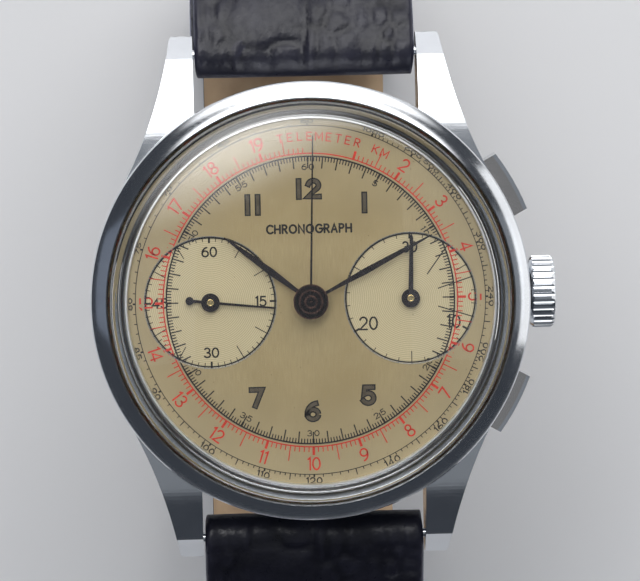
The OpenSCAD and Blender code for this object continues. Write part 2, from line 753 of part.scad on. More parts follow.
module minute_wheel() color(brass) at(minute_at) difference() {
    union() {
        translate([0, 0, 6.35]) train_wheel(minute_teeth, cannon_m, wheel_t,
            gap_phase(minute_teeth, angle_of(-minute_at)), 4);
        translate([0, 0, 6.45]) gear(minute_leaves, hour_m, 0.85, angle_of(-minute_at));
    }
    translate([0, 0, 6]) cylinder(r = 0.3 + run, h = 3, $fn = 32);
}

module hour_wheel() color(brass) difference() {
    union() {
        translate([0, 0, 7]) train_wheel(hour_teeth, hour_m, wheel_t,
            gap_phase(hour_teeth, angle_of(minute_at)), 6);
        translate([0, 0, 6.95]) cylinder(r = hour_pipe_r, h = hour_z + hand_t - 6.95);
    }
    translate([0, 0, 5]) cylinder(r = cannon_r + run, h = 6);
}

// ---- Chronograph works ----

module heart_cam(r) {
    linear_extrude(0.18) polygon([for (i = [-12:12]) polar(r * (0.4 + 0.6 * abs(i) / 12), i * 15)]);
}

module chrono_runner() color(brass) {
    translate([0, 0, chrono_level]) {
        train_wheel(runner_teeth, chrono_m, wheel_t, 0, 5);
        linear_extrude(wheel_t) rotate(200) translate([2.8, -0.08]) square([0.55, 0.16]);
        translate([0, 0, wheel_t + 0.14]) heart_cam(0.9);
    }
    translate([0, 0, chrono_bridge_z + 0.05]) cylinder(r = arbor_r, h = 1, $fn = 24);
    translate([0, 0, chrono_level]) cylinder(r = chrono_arbor_r, h = chrono_z + 0.2 - chrono_level, $fn = 32);
}

module coupling_lever() color(steel) at(fourth_at, 2.55) {
    reach = coupling_at - fourth_at;
    difference() {
        linear_extrude(0.25) {
            bar_2d([0, 0], reach, 0.9);
            bar_2d([0, 0], polar(3.2, 120), 0.7);
        }
        translate([0, 0, -1]) cylinder(r = arbor_r + 0.07, h = 3, $fn = 24);
    }
    translate([reach.x, reach.y, chrono_level - 2.65]) cylinder(r = arbor_r, h = 0.7, $fn = 24);
}

module coupling_wheel() color(brass) at(coupling_at, chrono_level) difference() {
    train_wheel(coupling_teeth, chrono_m, wheel_t, gap_phase(coupling_teeth, coupling_turn + 180), 4);
    translate([0, 0, -1]) cylinder(r = arbor_r + run, h = 3, $fn = 24);
}

module transfer_wheel() color(brass) at(transfer_at) {
    translate([0, 0, chrono_level]) gear(transfer_teeth, counter_m, wheel_t,
        angle_of(counter_at - transfer_at));
    translate([0, 0, chrono_bridge_z + 0.05]) cylinder(r = arbor_r, h = 1.2, $fn = 24);
}

module minute_counter_wheel() color(brass) at(counter_at) {
    translate([0, 0, chrono_level]) {
        train_wheel(counter_teeth, counter_m, wheel_t,
            gap_phase(counter_teeth, angle_of(transfer_at - counter_at)), 4);
        translate([0, 0, wheel_t + 0.14]) heart_cam(0.8);
    }
    translate([0, 0, chrono_bridge_z + 0.05])
        cylinder(r = arbor_r, h = small_hand_z + 0.17 - chrono_bridge_z, $fn = 24);
}

module column_wheel() color(steel) at(column_at) difference() {
    union() {
        translate([0, 0, 1.75]) gear(12, 0.24, 0.25);
        for (i = [1:6]) rotate(i * 60) translate([0.72, -0.25, 1.95]) cube([0.5, 0.5, 0.75]);
        translate([0, 0, 1.95]) cylinder(r = 0.75, h = 0.75, $fn = 32);
    }
    translate([0, 0, 1]) cylinder(r = 0.35 + run, h = 3, $fn = 32);
}

module operating_lever() color(steel) {
    tab = polar(pusher_tip_r - 0.45, pusher_angle);
    difference() {
        translate([0, 0, lever_level]) linear_extrude(wheel_t) {
            bar_2d(operating_at, tab, 1.1);
            bar_2d(operating_at, [5.4, 10.6], 0.8);
            translate(operating_at) circle(r = 0.9);
        }
        at(operating_at) cylinder(r = 0.4 + run, h = 5);
    }
    at(tab, lever_level) rotate(pusher_angle) translate([-0.2, -0.45, 0])
        cube([0.4, 0.9, pusher_z - lever_level + 0.5]);
}

module reset_hammer() color(steel) {
    tab = polar(pusher_tip_r - 0.45, -pusher_angle);
    elbow = [8.4, -8.2];
    difference() {
        translate([0, 0, lever_level]) linear_extrude(wheel_t) {
            bar_2d(hammer_at, elbow, 1.1);
            bar_2d(elbow, tab, 1);
            bar_2d(hammer_at + [0.4, 0.2], [2.5, -1.6], 0.7);
            bar_2d([2.5, -1.6], [2.3, 0], 0.5);
            bar_2d(elbow, [10.7, -3], 0.8);
            bar_2d([10.7, -3], [10.3, -0.9], 0.5);
            translate(hammer_at) circle(r = 0.9);
        }
        at(hammer_at) cylinder(r = 0.4 + run, h = 5);
    }
    at(tab, lever_level + wheel_t / 2) rotate(-pusher_angle) translate([-0.2, -0.4, 0])
        cube([0.4, 0.8, pusher_z - lever_level + 0.4]);
}

// ---- Crown, stem and push buttons ----

module winding_stem() color(steel) {
    along_x(9.3, stem_z) cylinder(r = stem_r, h = crown_x + 1.2 - 9.3, $fn = 32);
    along_x(14.2, stem_z) cylinder(r = stem_r + 0.1, h = crown_travel + 0.3, $fn = 32);
}

module pinion_on_stem(x, len, teeth) color(steel)
    along_x(x, stem_z) difference() {
        gear(teeth, 0.1, len);
        translate([0, 0, -1]) cylinder(r = stem_r + run / 2, h = len + 2, $fn = 32);
    }

module winding_pinion() pinion_on_stem(winding_mesh.x - 0.4, 1.4, 15);
module sliding_pinion() pinion_on_stem(winding_mesh.x - 1.8, 1.3, 15);

module crown() color(steel) {
    flute_r = 0.22;
    knurl_start = 0.35;
    difference() {
        along_x(crown_x + 0.05, stem_z) rotate_extrude($fn = 96) polygon([
            [0, 0], [crown_r - 0.55, 0], [crown_r - 0.15, 0.15], [crown_r, 0.4], [crown_r, crown_len - 0.45],
            [crown_r - 0.2, crown_len - 0.15], [crown_r - 0.7, crown_len - 0.03], [0, crown_len]]);
        along_x(crown_x - 1, stem_z) cylinder(r = tube_r + 0.1, h = 1.75);
        along_x(crown_x - 1, stem_z) cylinder(r = stem_r, h = 2.2, $fn = 32);
        for (i = [1:crown_flutes]) translate([crown_x, 0, stem_z]) rotate([i * 360 / crown_flutes, 0, 0])
            translate([knurl_start, 0, crown_r + 0.04]) rotate([0, 90, 0])
                cylinder(r = flute_r, h = crown_len, $fn = 16);
    }
}

module crown_gasket() color(rubber)
    along_x(tube_out_x - 0.5, stem_z) ring(tube_bore_r - eps, stem_r + run, 0.4, $fn = 32);

module pusher() {
    intersection() {
        translate([pusher_face_r - pusher_cap, -pusher_w / 2, pusher_z - pusher_h / 2])
            cube([3, pusher_w, pusher_h]);
        cylinder(r = pusher_face_r, h = 12, $fn = 200);
    }
    along_x(pusher_tip_r, pusher_z)
        cylinder(r = pusher_stem_r, h = pusher_face_r - pusher_cap - pusher_tip_r + eps, $fn = 32);
}

module start_pusher() color(steel) rotate(pusher_angle) pusher();
module reset_pusher() color(steel) rotate(-pusher_angle) pusher();

module pusher_springs() color(steel) {
    coils = 3;
    room = pusher_face_r - pusher_cap - pocket_r;
    at_pushers() for (i = [0:coils - 1])
        along_x(pocket_r + room * (i + 0.5) / coils, pusher_z) rotate_extrude($fn = 32)
            translate([0.9, 0]) circle(r = 0.13, $fn = 16);
}

// ---- Strap and buckle ----

// Bend by bend, the points [y, z, heading, length so far] of the strap's middle line
function strap_points(start, heading, arcs, steps, done) = len(arcs) == 0 ? [] :
    let (r = arcs[0][0], turn = arcs[0][1],
        pts = [for (i = [1:steps]) let (h = heading + turn * i / steps)
            [start.x + r * (sin(heading) - sin(h)), start.y + r * (cos(h) - cos(heading)), h,
                done + abs(turn) * PI / 180 * r * i / steps]],
        last = pts[steps - 1],
        rest = [for (i = [1:1:len(arcs) - 1]) arcs[i]])
    concat(pts, strap_points([last[0], last[1]], last[2], rest, steps, last[3]));

lead_end = [bar_y, bar_z] + polar(strap_lead, strap_start_heading);
side_points = concat(
    [[bar_y, bar_z, strap_start_heading, 0], [lead_end.x, lead_end.y, strap_start_heading, strap_lead]],
    strap_points(lead_end, strap_start_heading, strap_arcs, 9, strap_lead));

// Half thickness of the strap at a length along it
function half_thick(s) =
    let (taper = 26) (strap_thick_end + (strap_thick_lug - strap_thick_end) * max(0, 1 - s / taper)) / 2;

function offset_point(p, d) = [p[0] - d * sin(p[2]), p[1] + d * cos(p[2])];

// The round end of an outline about p, between the directions from and to
function round_end(p, from, to) =
    let (steps = 10)
    [for (i = [1:steps - 1]) [p[0], p[1]] + polar(half_thick(p[3]), from + (to - from) * i / steps)];

module side_outline(points) {
    first = points[0];
    last = points[len(points) - 1];
    polygon(concat(
        [for (p = points) offset_point(p, half_thick(p[3]))],
        round_end(last, last[2] + 90, last[2] - 90),
        [for (i = [len(points) - 1:-1:0]) offset_point(points[i], -half_thick(points[i][3]))],
        round_end(first, first[2] - 90, first[2] - 270)));
}

// Extrudes a side outline drawn as [y, z] across the strap, tapered in width from the lugs to the buckle
module across_strap() {
    intersection() {
        rotate([90, 0, 90]) translate([0, 0, -lug_gap / 2]) linear_extrude(lug_gap) children();
        rotate([90, 0, 0]) translate([0, 0, -40]) linear_extrude(80) polygon([
            [-lug_gap / 2 + 0.1, 6], [lug_gap / 2 - 0.1, 6], [lug_gap / 2 - 0.1, -4],
            [strap_end_w / 2, -38], [strap_end_w / 2, -50], [-strap_end_w / 2, -50],
            [-strap_end_w / 2, -38], [-lug_gap / 2 + 0.1, -4]]);
    }
}

module bar_hole(y, z, r) translate([0, y, z]) rotate([0, 90, 0])
    cylinder(r = r, h = 30, center = true, $fn = 32);

module strap_12() color(leather) {
    difference() {
        across_strap() side_outline(concat(side_points, [[0, strap_flat_z, -180, strap_len]]));
        bar_hole(bar_y, bar_z, bar_r + eps);
        bar_hole(0, strap_flat_z, buckle_bar_r + 0.05);
        translate([-tongue_slot_w / 2, -5, strap_flat_z - 3]) cube([tongue_slot_w, 6.6, 6]);
    }
}

// Middle line of the long half from the flat bottom, through the buckle and on as the tail
tail_z = strap_flat_z - tail_drop;
cross_y = -12.5;         // where the long half starts down towards the buckle
settle_y = 1.5;          // where it lies against the short half
cross_slope = 15;        // steepest heading of that stretch, in degrees
tail_bend = (tail_len - strap_flat_y) / (strap_bend_r + tail_drop) * 180 / PI;
tail_points = concat(
    [for (i = [0:6]) let (t = i / 6) [cross_y + (settle_y - cross_y) * t,
        strap_flat_z - tail_drop * (1 - cos(180 * t)) / 2, -cross_slope * sin(180 * t), strap_len]],
    [[strap_flat_y, tail_z, 0, strap_len]],
    [for (i = [1:9]) let (a = tail_bend * i / 9)
        [bend_centre.x + (strap_bend_r + tail_drop) * sin(a),
            bend_centre.y - (strap_bend_r + tail_drop) * cos(a), a, strap_len]]);

module strap_6() color(leather) {
    mirrored = [for (p = side_points) [-p[0], p[1], 180 - p[2], p[3]]];
    difference() {
        across_strap() side_outline(concat(mirrored, tail_points));
        bar_hole(-bar_y, bar_z, bar_r + eps);
        translate([-tongue_slot_w / 2, -7.6, tail_z - 3]) cube([tongue_slot_w, 7, 6]);
    }
}

// Cross-section of a keeper loop: inner and outer sizes across the strap (x) and through it (z)
keeper_in_x = strap_end_w / 2 + keeper_gap;
keeper_in_top = strap_thick_end / 2 + keeper_gap;
keeper_in_bottom = strap_thick_end / 2 + tail_drop + keeper_gap;

module keeper_section(extra) {
    translate([-keeper_in_x - extra, -keeper_in_bottom - extra])
        square([2 * (keeper_in_x + extra), keeper_in_top + keeper_in_bottom + 2 * extra]);
}

fixed_keeper_y = 3.4;

module fixed_keeper() color(leather) translate([0, fixed_keeper_y, strap_flat_z])
    rotate([90, 0, 0]) mirror([0, 0, 1]) linear_extrude(keeper_w) difference() {
        keeper_section(keeper_t);
        keeper_section(0);
    }

// The free keeper follows the strap's bend, so it is a short arc about the bend's centre
free_keeper_start = 16;   // degrees along the bend from the flat bottom
free_keeper_sweep = 13;

module free_keeper() color(leather) translate([0, bend_centre.x, bend_centre.y]) rotate([0, 90, 0])
    rotate(free_keeper_start) rotate_extrude(angle = free_keeper_sweep, $fn = 180)
        difference() {
            translate([strap_bend_r - keeper_in_top - keeper_t, -keeper_in_x - keeper_t])
                square([keeper_in_top + keeper_in_bottom + 2 * keeper_t, 2 * (keeper_in_x + keeper_t)]);
            translate([strap_bend_r - keeper_in_top, -keeper_in_x])
                square([keeper_in_top + keeper_in_bottom, 2 * keeper_in_x]);
        }

module buckle_frame() color(steel) {
    arm_t = 1.5;
    difference() {
        union() {
            for (side = [0, 1]) mirror([side, 0, 0]) translate([frame_in_x, 0, 0])
                rotate([90, 0, 90]) linear_extrude(arm_t) {
                    bar_2d([0, strap_flat_z], [frame_rim_y, frame_rim_z], 2 * frame_wire_r);
                }
            translate([-frame_in_x - 0.1, frame_rim_y, frame_rim_z]) rotate([0, 90, 0])
                cylinder(r = frame_wire_r - 0.05, h = 2 * frame_in_x + 0.2, $fn = 48);
            translate([-frame_in_x - 0.1, 0, strap_flat_z]) rotate([0, 90, 0])
                cylinder(r = buckle_bar_r, h = 2 * frame_in_x + 0.2, $fn = 32);
        }
        tongue_frame() translate([-tongue_w / 2 - 0.1, -tongue_reach - 2, -2])
            cube([tongue_w + 0.2, 4, 2.05 + tongue_t / 2]);
    }
}

// The tongue's own frame: its bar at the origin and its tip along -Y
tongue_tip = [frame_rim_y - 0.7, frame_rim_z - 0.1 - tongue_t / 2 - strap_flat_z];
tongue_reach = norm(tongue_tip);

module tongue_frame()
    translate([0, 0, strap_flat_z]) rotate([atan2(-tongue_tip.y, -tongue_tip.x), 0, 0]) children();

module buckle_tongue() color(steel) {
    tongue_frame() difference() {
        rotate([90, 0, 90]) translate([0, 0, -tongue_w / 2]) linear_extrude(tongue_w) {
            circle(r = buckle_bar_r + 0.45, $fn = 32);
            polygon([[0, -tongue_t / 2], [0, tongue_t / 2], [-tongue_reach + 0.3, tongue_t / 2 - 0.1],
                [-tongue_reach, tongue_t / 2 - 0.4], [-tongue_reach + 0.2, -tongue_t / 2]]);
        }
        rotate([0, 90, 0]) cylinder(r = buckle_bar_r + 0.05, h = 10, center = true, $fn = 32);
    }
}

case_middle();
bezel();
crystal();
tension_ring();
case_back();
case_back_gasket();
movement_ring();
crown_tube();
pusher_tubes();
spring_bars();
dial();
hour_hand();
minute_hand();
chrono_seconds_hand();
small_seconds_hand();
minute_counter_hand();
main_plate();
barrel_bridge();
train_bridge();
chronograph_bridge();
balance_cock();
bridge_screws();
jewels();
barrel();
mainspring();
ratchet_wheel();
crown_wheel();
click();
centre_wheel();
third_wheel();
fourth_wheel();
escape_wheel();
pallet_fork();
balance_wheel();
hairspring();
cannon_pinion();
minute_wheel();
hour_wheel();
chrono_runner();
coupling_lever();
coupling_wheel();
transfer_wheel();
minute_counter_wheel();
column_wheel();
operating_lever();
reset_hammer();
winding_stem();
winding_pinion();
sliding_pinion();
crown();
crown_gasket();
start_pusher();
reset_pusher();
pusher_springs();
strap_12();
strap_6();
fixed_keeper();
free_keeper();
buckle_frame();
buckle_tongue();
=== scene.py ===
"""The look of the chronograph wristwatch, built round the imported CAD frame. Lengths are in millimetres."""
import json
import math

import bpy
from mathutils import Matrix, Vector, noise


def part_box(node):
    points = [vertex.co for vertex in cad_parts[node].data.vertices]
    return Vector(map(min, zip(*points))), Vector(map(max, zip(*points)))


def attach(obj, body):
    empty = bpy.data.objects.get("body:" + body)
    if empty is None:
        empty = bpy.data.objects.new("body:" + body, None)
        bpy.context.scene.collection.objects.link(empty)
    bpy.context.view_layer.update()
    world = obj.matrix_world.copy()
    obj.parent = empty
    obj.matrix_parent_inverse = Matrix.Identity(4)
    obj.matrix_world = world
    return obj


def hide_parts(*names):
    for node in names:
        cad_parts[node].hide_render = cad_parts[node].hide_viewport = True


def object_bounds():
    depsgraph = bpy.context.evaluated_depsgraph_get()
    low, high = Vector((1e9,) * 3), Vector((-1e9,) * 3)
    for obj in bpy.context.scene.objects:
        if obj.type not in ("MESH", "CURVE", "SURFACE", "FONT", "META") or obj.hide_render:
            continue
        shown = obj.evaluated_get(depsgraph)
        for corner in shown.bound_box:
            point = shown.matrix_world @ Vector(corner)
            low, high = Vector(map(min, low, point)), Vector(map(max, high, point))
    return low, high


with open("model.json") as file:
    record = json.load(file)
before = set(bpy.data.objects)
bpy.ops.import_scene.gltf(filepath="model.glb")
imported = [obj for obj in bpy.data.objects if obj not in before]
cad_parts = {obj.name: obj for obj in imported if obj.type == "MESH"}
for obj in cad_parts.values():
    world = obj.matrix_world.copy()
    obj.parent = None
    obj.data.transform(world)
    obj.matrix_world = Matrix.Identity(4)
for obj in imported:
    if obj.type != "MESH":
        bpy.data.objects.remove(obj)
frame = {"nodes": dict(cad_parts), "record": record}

MM = 0.001
cad_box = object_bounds()


# ---- Places taken from the CAD frame, in millimetres ----

def box_mm(node):
    """(lowest corner, highest corner) of a CAD node in millimetres."""
    low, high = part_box(node)
    return low / MM, high / MM


DIAL_TOP = box_mm("dial")[1].z
SMALL_DIAL_X = (box_mm("minute_counter_wheel")[0].x + box_mm("minute_counter_wheel")[1].x) / 2
SMALL_DIAL_DEPTH = 0.15
SMALL_DIAL_R = 5.33
BEZEL_TOP = box_mm("bezel")[1].z
FLOOR_Z = cad_box[0].z
HUB_R = 1.42
HUB_RING_WAVES = 13.6  # radians of the hub's ring pattern to a millimetre; the bright rings are partly painted highlights
# Painted shade: the bezel is painted dark grey inside this radius, for the shade in its gap round the
# crystal.
BEZEL_GAP_SHADE_R = 16.33
PUSHER_RIM_R = 18.7    # the painted reflection on the buttons' tops reaches this distance from the case's axis


# ---- Materials ----

class Shader:
    """A node material. Plain values go straight on the Principled sockets, and its methods build patterns."""

    def __init__(self, name, **sockets):
        self.material = bpy.data.materials.new(name)
        self.material.use_nodes = True
        self.tree = self.material.node_tree
        self.principled = self.tree.nodes["Principled BSDF"]
        for key, value in sockets.items():
            self.principled.inputs[key.replace("_", " ")].default_value = value
        self.place = self.tree.nodes.new("ShaderNodeTexCoord").outputs["Object"]

    def node(self, kind, inputs=(), output=0, **settings):
        """Adds a node and returns one of its outputs. Each input is a number, a colour or another output."""
        made = self.tree.nodes.new("ShaderNode" + kind)
        for key, value in settings.items():
            setattr(made, key, value)
        for key, value in dict(inputs).items():
            self.set_input(made.inputs[key], value)
        return made.outputs[output]

    def set_input(self, socket, value):
        if isinstance(value, bpy.types.NodeSocket):
            self.tree.links.new(value, socket)
        else:
            socket.default_value = value

    def drive(self, key, value):
        """Links a pattern to a socket of the Principled shader."""
        self.tree.links.new(value, self.principled.inputs[key])

    def stretched(self, x, y, z):
        """Object coordinates in millimetres, scaled along each axis."""
        return self.node("Mapping", {"Vector": self.place, "Scale": (x / MM, y / MM, z / MM)})

    def radius(self):
        """Distance in millimetres from the case's axis."""
        return self.node("VectorMath", {0: self.stretched(1, 1, 0)}, output="Value", operation="LENGTH")

    def noise(self, scale, detail=3.0, vector=None):
        """Noise with that many features per millimetre."""
        place = vector or self.stretched(1, 1, 1)
        return self.node("TexNoise", {"Vector": place, "Scale": scale, "Detail": detail})

    def remap(self, value, low, high, to_low=0.0, to_high=1.0):
        return self.node("MapRange", {"Value": value, "From Min": low, "From Max": high,
                                      "To Min": to_low, "To Max": to_high})

    def math(self, operation, a, b=0.0):
        return self.node("Math", {0: a, 1: b}, operation=operation)

    def mix(self, share, first, second):
        """A blend of two colours."""
        return self.node("MixRGB", {"Fac": share, "Color1": first, "Color2": second})

    def bump(self, height, strength, depth_mm):
        relief = {"Height": height, "Strength": strength, "Distance": depth_mm * MM}
        self.drive("Normal", self.node("Bump", relief))


def rgb(red, green, blue):
    return (red, green, blue, 1.0)


def scaled(colour, factor):
    """The colour with each channel multiplied."""
    return rgb(*(channel * factor for channel in colour[:3]))


def polished_steel(name, colour, low, high, gap_shade_r=None, top_reflection_colour=None):
    """Polished metal with faint marks. It can be painted dark inside a radius, as painted shade in the gap
    round the crystal, or tinted where it faces up, as a painted reflection.
    """
    shader = Shader(name, Metallic=1.0)
    cloud = shader.noise(0.35, 2.0)
    tint = shader.mix(shader.remap(cloud, 0.35, 0.65), colour, scaled(colour, 0.93))
    if gap_shade_r:
        # Painted shade: inside this radius the steel is painted dark grey, for the shade in the gap between
        # the bezel and the crystal.
        outside_gap_shade = shader.remap(shader.radius(), gap_shade_r - 0.02, gap_shade_r + 0.03)
        tint = shader.mix(outside_gap_shade, rgb(0.10, 0.10, 0.105), tint)
    # Painted reflection: faces of the buttons that look up are tinted warm grey, the tone they mirror.
    if top_reflection_colour:
        facing = shader.tree.nodes.new("ShaderNodeSeparateXYZ")
        shader.set_input(facing.inputs[0], shader.tree.nodes.new("ShaderNodeTexCoord").outputs["Normal"])
        inside_rim = shader.remap(shader.radius(), PUSHER_RIM_R + 0.05, PUSHER_RIM_R - 0.05)
        top_reflection_mask = shader.math("MULTIPLY", shader.remap(facing.outputs["Z"], 0.85, 0.97), inside_rim)
        tint = shader.mix(top_reflection_mask, tint, top_reflection_colour)
    shader.drive("Base Color", tint)
    marks = shader.noise(1.0, 4.0, shader.stretched(0.6, 14, 5))
    shader.drive("Roughness", shader.remap(marks, 0.3, 0.75, low, high))
    shader.bump(shader.remap(marks, 0.62, 0.7), 0.05, 0.004)
    return shader.material


def grained_metal(name, colour, roughness, rings):
    """Machined metal with a circular grain about the case's axis, rings lines per millimetre."""
    shader = Shader(name, Metallic=1.0)
    wobble = shader.noise(0.8, 3.0)
    wave = shader.math("MULTIPLY", shader.radius(), rings * 6.283)
    line = shader.math("SINE", shader.math("ADD", wave, wobble))
    tone = shader.noise(0.5, 3.0)
    shader.drive("Base Color", shader.mix(shader.remap(tone, 0.35, 0.65), colour, scaled(colour, 0.82)))
    shader.drive("Roughness", shader.remap(line, -1, 1, roughness, roughness + 0.08))
    shader.bump(line, 0.15, 0.006)
    return shader.material


def lacquer(name, colour, roughness, hub_r=0.0):
    """Glossy lacquer over a flat hand, worn to the copper on a hub of that radius, whose bright copper rings
    are partly painted highlights of its turned groove and rim.
    """
    shader = Shader(name, Coat_Weight=0.4, Coat_Roughness=0.06, Specular_IOR_Level=0.3)
    tone = shader.noise(1.5, 4.0)
    tint = shader.mix(shader.remap(tone, 0.4, 0.7), colour, scaled(colour, 1.6))
    if hub_r:
        on_hub = shader.remap(shader.radius(), hub_r + 0.03, hub_r)
        wave = shader.math("COSINE", shader.math("MULTIPLY", shader.radius(), HUB_RING_WAVES))
        rings = shader.remap(wave, 0.2, 0.95)
        # Copper rings on the hub: partly real copper, and partly painted highlights where the turned groove
        # and rim would catch light.
        copper_and_highlight = shader.math("MULTIPLY", rings, shader.remap(tone, 0.35, 0.6, 0.35, 1.0))
        tint = shader.mix(on_hub, tint, shader.mix(copper_and_highlight, rgb(0.014, 0.009, 0.008), rgb(0.17, 0.09, 0.07)))
        shader.drive("Metallic", shader.math("MULTIPLY", on_hub, 0.85))
    shader.drive("Base Color", tint)
    shader.drive("Roughness", shader.remap(tone, 0.3, 0.7, roughness, roughness + 0.12))
    return shader.material


def ink(name, colour):
    """Printed ink, a little uneven in tone."""
    shader = Shader(name, Specular_IOR_Level=0.15)
    tone = shader.noise(2.0, 4.0)
    shader.drive("Base Color", shader.mix(shader.remap(tone, 0.35, 0.75), colour,
                                          rgb(*(min(1.0, c * 1.25 + 0.02) for c in colour[:3]))))
    shader.drive("Roughness", shader.remap(tone, 0.3, 0.7, 0.42, 0.6))
    return shader.material


def dial_face():
    """Aged cream dial: fine vertical grain, cloudy toning towards the rim, specks and turned small dials."""
    shader = Shader("dial_face", Coat_Weight=0.15, Coat_Roughness=0.25, Metallic=0.35)
    mm = shader.stretched(1, 1, 1)
    parts = shader.tree.nodes.new("ShaderNodeSeparateXYZ")
    shader.set_input(parts.inputs[0], mm)
    from_small = shader.math("SUBTRACT", shader.math("ABSOLUTE", parts.outputs["X"]), SMALL_DIAL_X)
    small_r = shader.math("SQRT", shader.math("ADD", shader.math("POWER", from_small, 2.0),
                                              shader.math("POWER", parts.outputs["Y"], 2.0)))
    in_small = shader.remap(small_r, SMALL_DIAL_R - 0.02, SMALL_DIAL_R - 0.1)

    grain = shader.noise(1.0, 5.0, shader.stretched(22, 0.9, 1))
    cloud = shader.noise(0.16, 5.0)
    rim = shader.remap(shader.math("ADD", shader.radius(), shader.math("MULTIPLY", cloud, 5.0)), 10.0, 19.0)
    ground = shader.mix(shader.remap(grain, 0.3, 0.7), rgb(0.37, 0.285, 0.14), rgb(0.46, 0.365, 0.19))
    ground = shader.mix(shader.remap(cloud, 0.35, 0.68), ground, rgb(0.34, 0.258, 0.12))
    ground = shader.mix(shader.math("MULTIPLY", rim, 0.55), ground, rgb(0.48, 0.405, 0.26))
    turned = shader.math("SINE", shader.math("MULTIPLY", small_r, 42.0))
    small = shader.mix(shader.remap(turned, -1.0, 1.0), rgb(0.49, 0.41, 0.235), rgb(0.68, 0.585, 0.37))
    ground = shader.mix(in_small, ground, small)

    specks = shader.node("TexVoronoi", {"Vector": mm, "Scale": 1.1})
    speck = shader.remap(specks, 0.07, 0.03)
    chance = shader.remap(shader.noise(0.45, 2.0), 0.5, 0.6)
    ground = shader.mix(shader.math("MULTIPLY", speck, shader.math("MULTIPLY", chance, 0.7)), ground,
                        rgb(0.12, 0.085, 0.04))
    shader.drive("Base Color", ground)
    shader.drive("Roughness", shader.remap(grain, 0.3, 0.7, 0.36, 0.5))
    relief = shader.math("ADD", shader.math("MULTIPLY", grain, 0.6), shader.math("MULTIPLY",
                         shader.math("MULTIPLY", turned, in_small), 0.25))
    shader.bump(relief, 0.25, 0.01)
    return shader.material


def acrylic():
    """Clear acrylic that lets the lamps through to the dial."""
    shader = Shader("acrylic", Roughness=0.02, IOR=1.49, Transmission_Weight=1.0, Specular_IOR_Level=0.35)
    shader.drive("Base Color", shader.mix(shader.remap(shader.noise(0.3, 2.0), 0.4, 0.6),
                                          rgb(0.985, 0.985, 0.98), rgb(0.97, 0.975, 0.975)))
    lamp = shader.tree.nodes.new("ShaderNodeLightPath").outputs["Is Shadow Ray"]
    clear = shader.node("BsdfTransparent", {"Color": rgb(0.96, 0.96, 0.955)})
    both = shader.node("MixShader", {0: lamp, 1: shader.principled.outputs[0], 2: clear})
    output = next(n for n in shader.tree.nodes if n.type == "OUTPUT_MATERIAL")
    shader.tree.links.new(both, output.inputs["Surface"])
    return shader.material


def ruby_stone():
    shader = Shader("ruby", Roughness=0.08, IOR=1.76, Transmission_Weight=0.4)
    shader.drive("Base Color", shader.mix(shader.noise(2.0), rgb(0.55, 0.02, 0.12), rgb(0.75, 0.06, 0.22)))
    return shader.material


def rubber():
    shader = Shader("gasket")
    tone = shader.noise(3.0, 5.0)
    shader.drive("Base Color", shader.mix(tone, rgb(0.015, 0.015, 0.015), rgb(0.035, 0.035, 0.035)))
    shader.drive("Roughness", shader.remap(tone, 0.3, 0.7, 0.6, 0.8))
    shader.bump(tone, 0.2, 0.01)
    return shader.material


def leather(name, dark, light, roughness, pore_size_mm, pore_depth_mm, sheen):
    """Leather with pores, creases and a soft bloom on what stands proud."""
    shader = Shader(name, Sheen_Weight=sheen, Sheen_Roughness=0.35, Sheen_Tint=rgb(0.45, 0.5, 0.95),
                    Specular_IOR_Level=0.36)
    pores = shader.node("TexVoronoi", {"Vector": shader.stretched(1, 1, 1), "Scale": 1 / pore_size_mm})
    crease = shader.noise(1.6, 6.0)
    tone = shader.noise(0.35, 4.0)
    wear = shader.node("NewGeometry", output="Pointiness")
    colour = shader.mix(shader.remap(tone, 0.3, 0.7), dark, light)
    colour = shader.mix(shader.remap(wear, 0.5, 0.56, 0.0, 0.35), colour, scaled(light, 2.2))
    shader.drive("Base Color", colour)
    shader.drive("Roughness", shader.remap(crease, 0.3, 0.7, roughness - 0.07, roughness + 0.1))
    relief = shader.math("ADD", pores, shader.math("MULTIPLY", crease, 1.4))
    shader.bump(relief, 0.5, pore_depth_mm)
    return shader.material


BRIGHT = rgb(0.80, 0.82, 0.85)
HAND_BLACK = rgb(0.012, 0.009, 0.010)
STEEL = polished_steel("polished_steel", BRIGHT, 0.05, 0.13)
MATERIALS = {
    "polished_steel": STEEL,
    "movement_steel": grained_metal("movement_steel", rgb(0.62, 0.64, 0.67), 0.22, 5.0),
    "gilt_plate": grained_metal("gilt_plate", rgb(0.85, 0.68, 0.36), 0.26, 3.0),
    "wheel_brass": grained_metal("wheel_brass", rgb(0.88, 0.70, 0.34), 0.16, 6.0),
    "black_hands": lacquer("black_hands", HAND_BLACK, 0.16),
    "blued_steel": polished_steel("blued_steel", rgb(0.05, 0.10, 0.42), 0.12, 0.22),
    "gasket": rubber(),
    "black_leather": leather("black_leather", rgb(0.006, 0.006, 0.010), rgb(0.017, 0.017, 0.028),
                             0.34, 0.35, 0.03, 0.3),
    "dial_face": dial_face(),
    "acrylic": acrylic(),
    "ruby": ruby_stone(),
}
PUSHER_STEEL = polished_steel("pusher_steel", BRIGHT, 0.1, 0.2, top_reflection_colour=rgb(0.72, 0.68, 0.65))
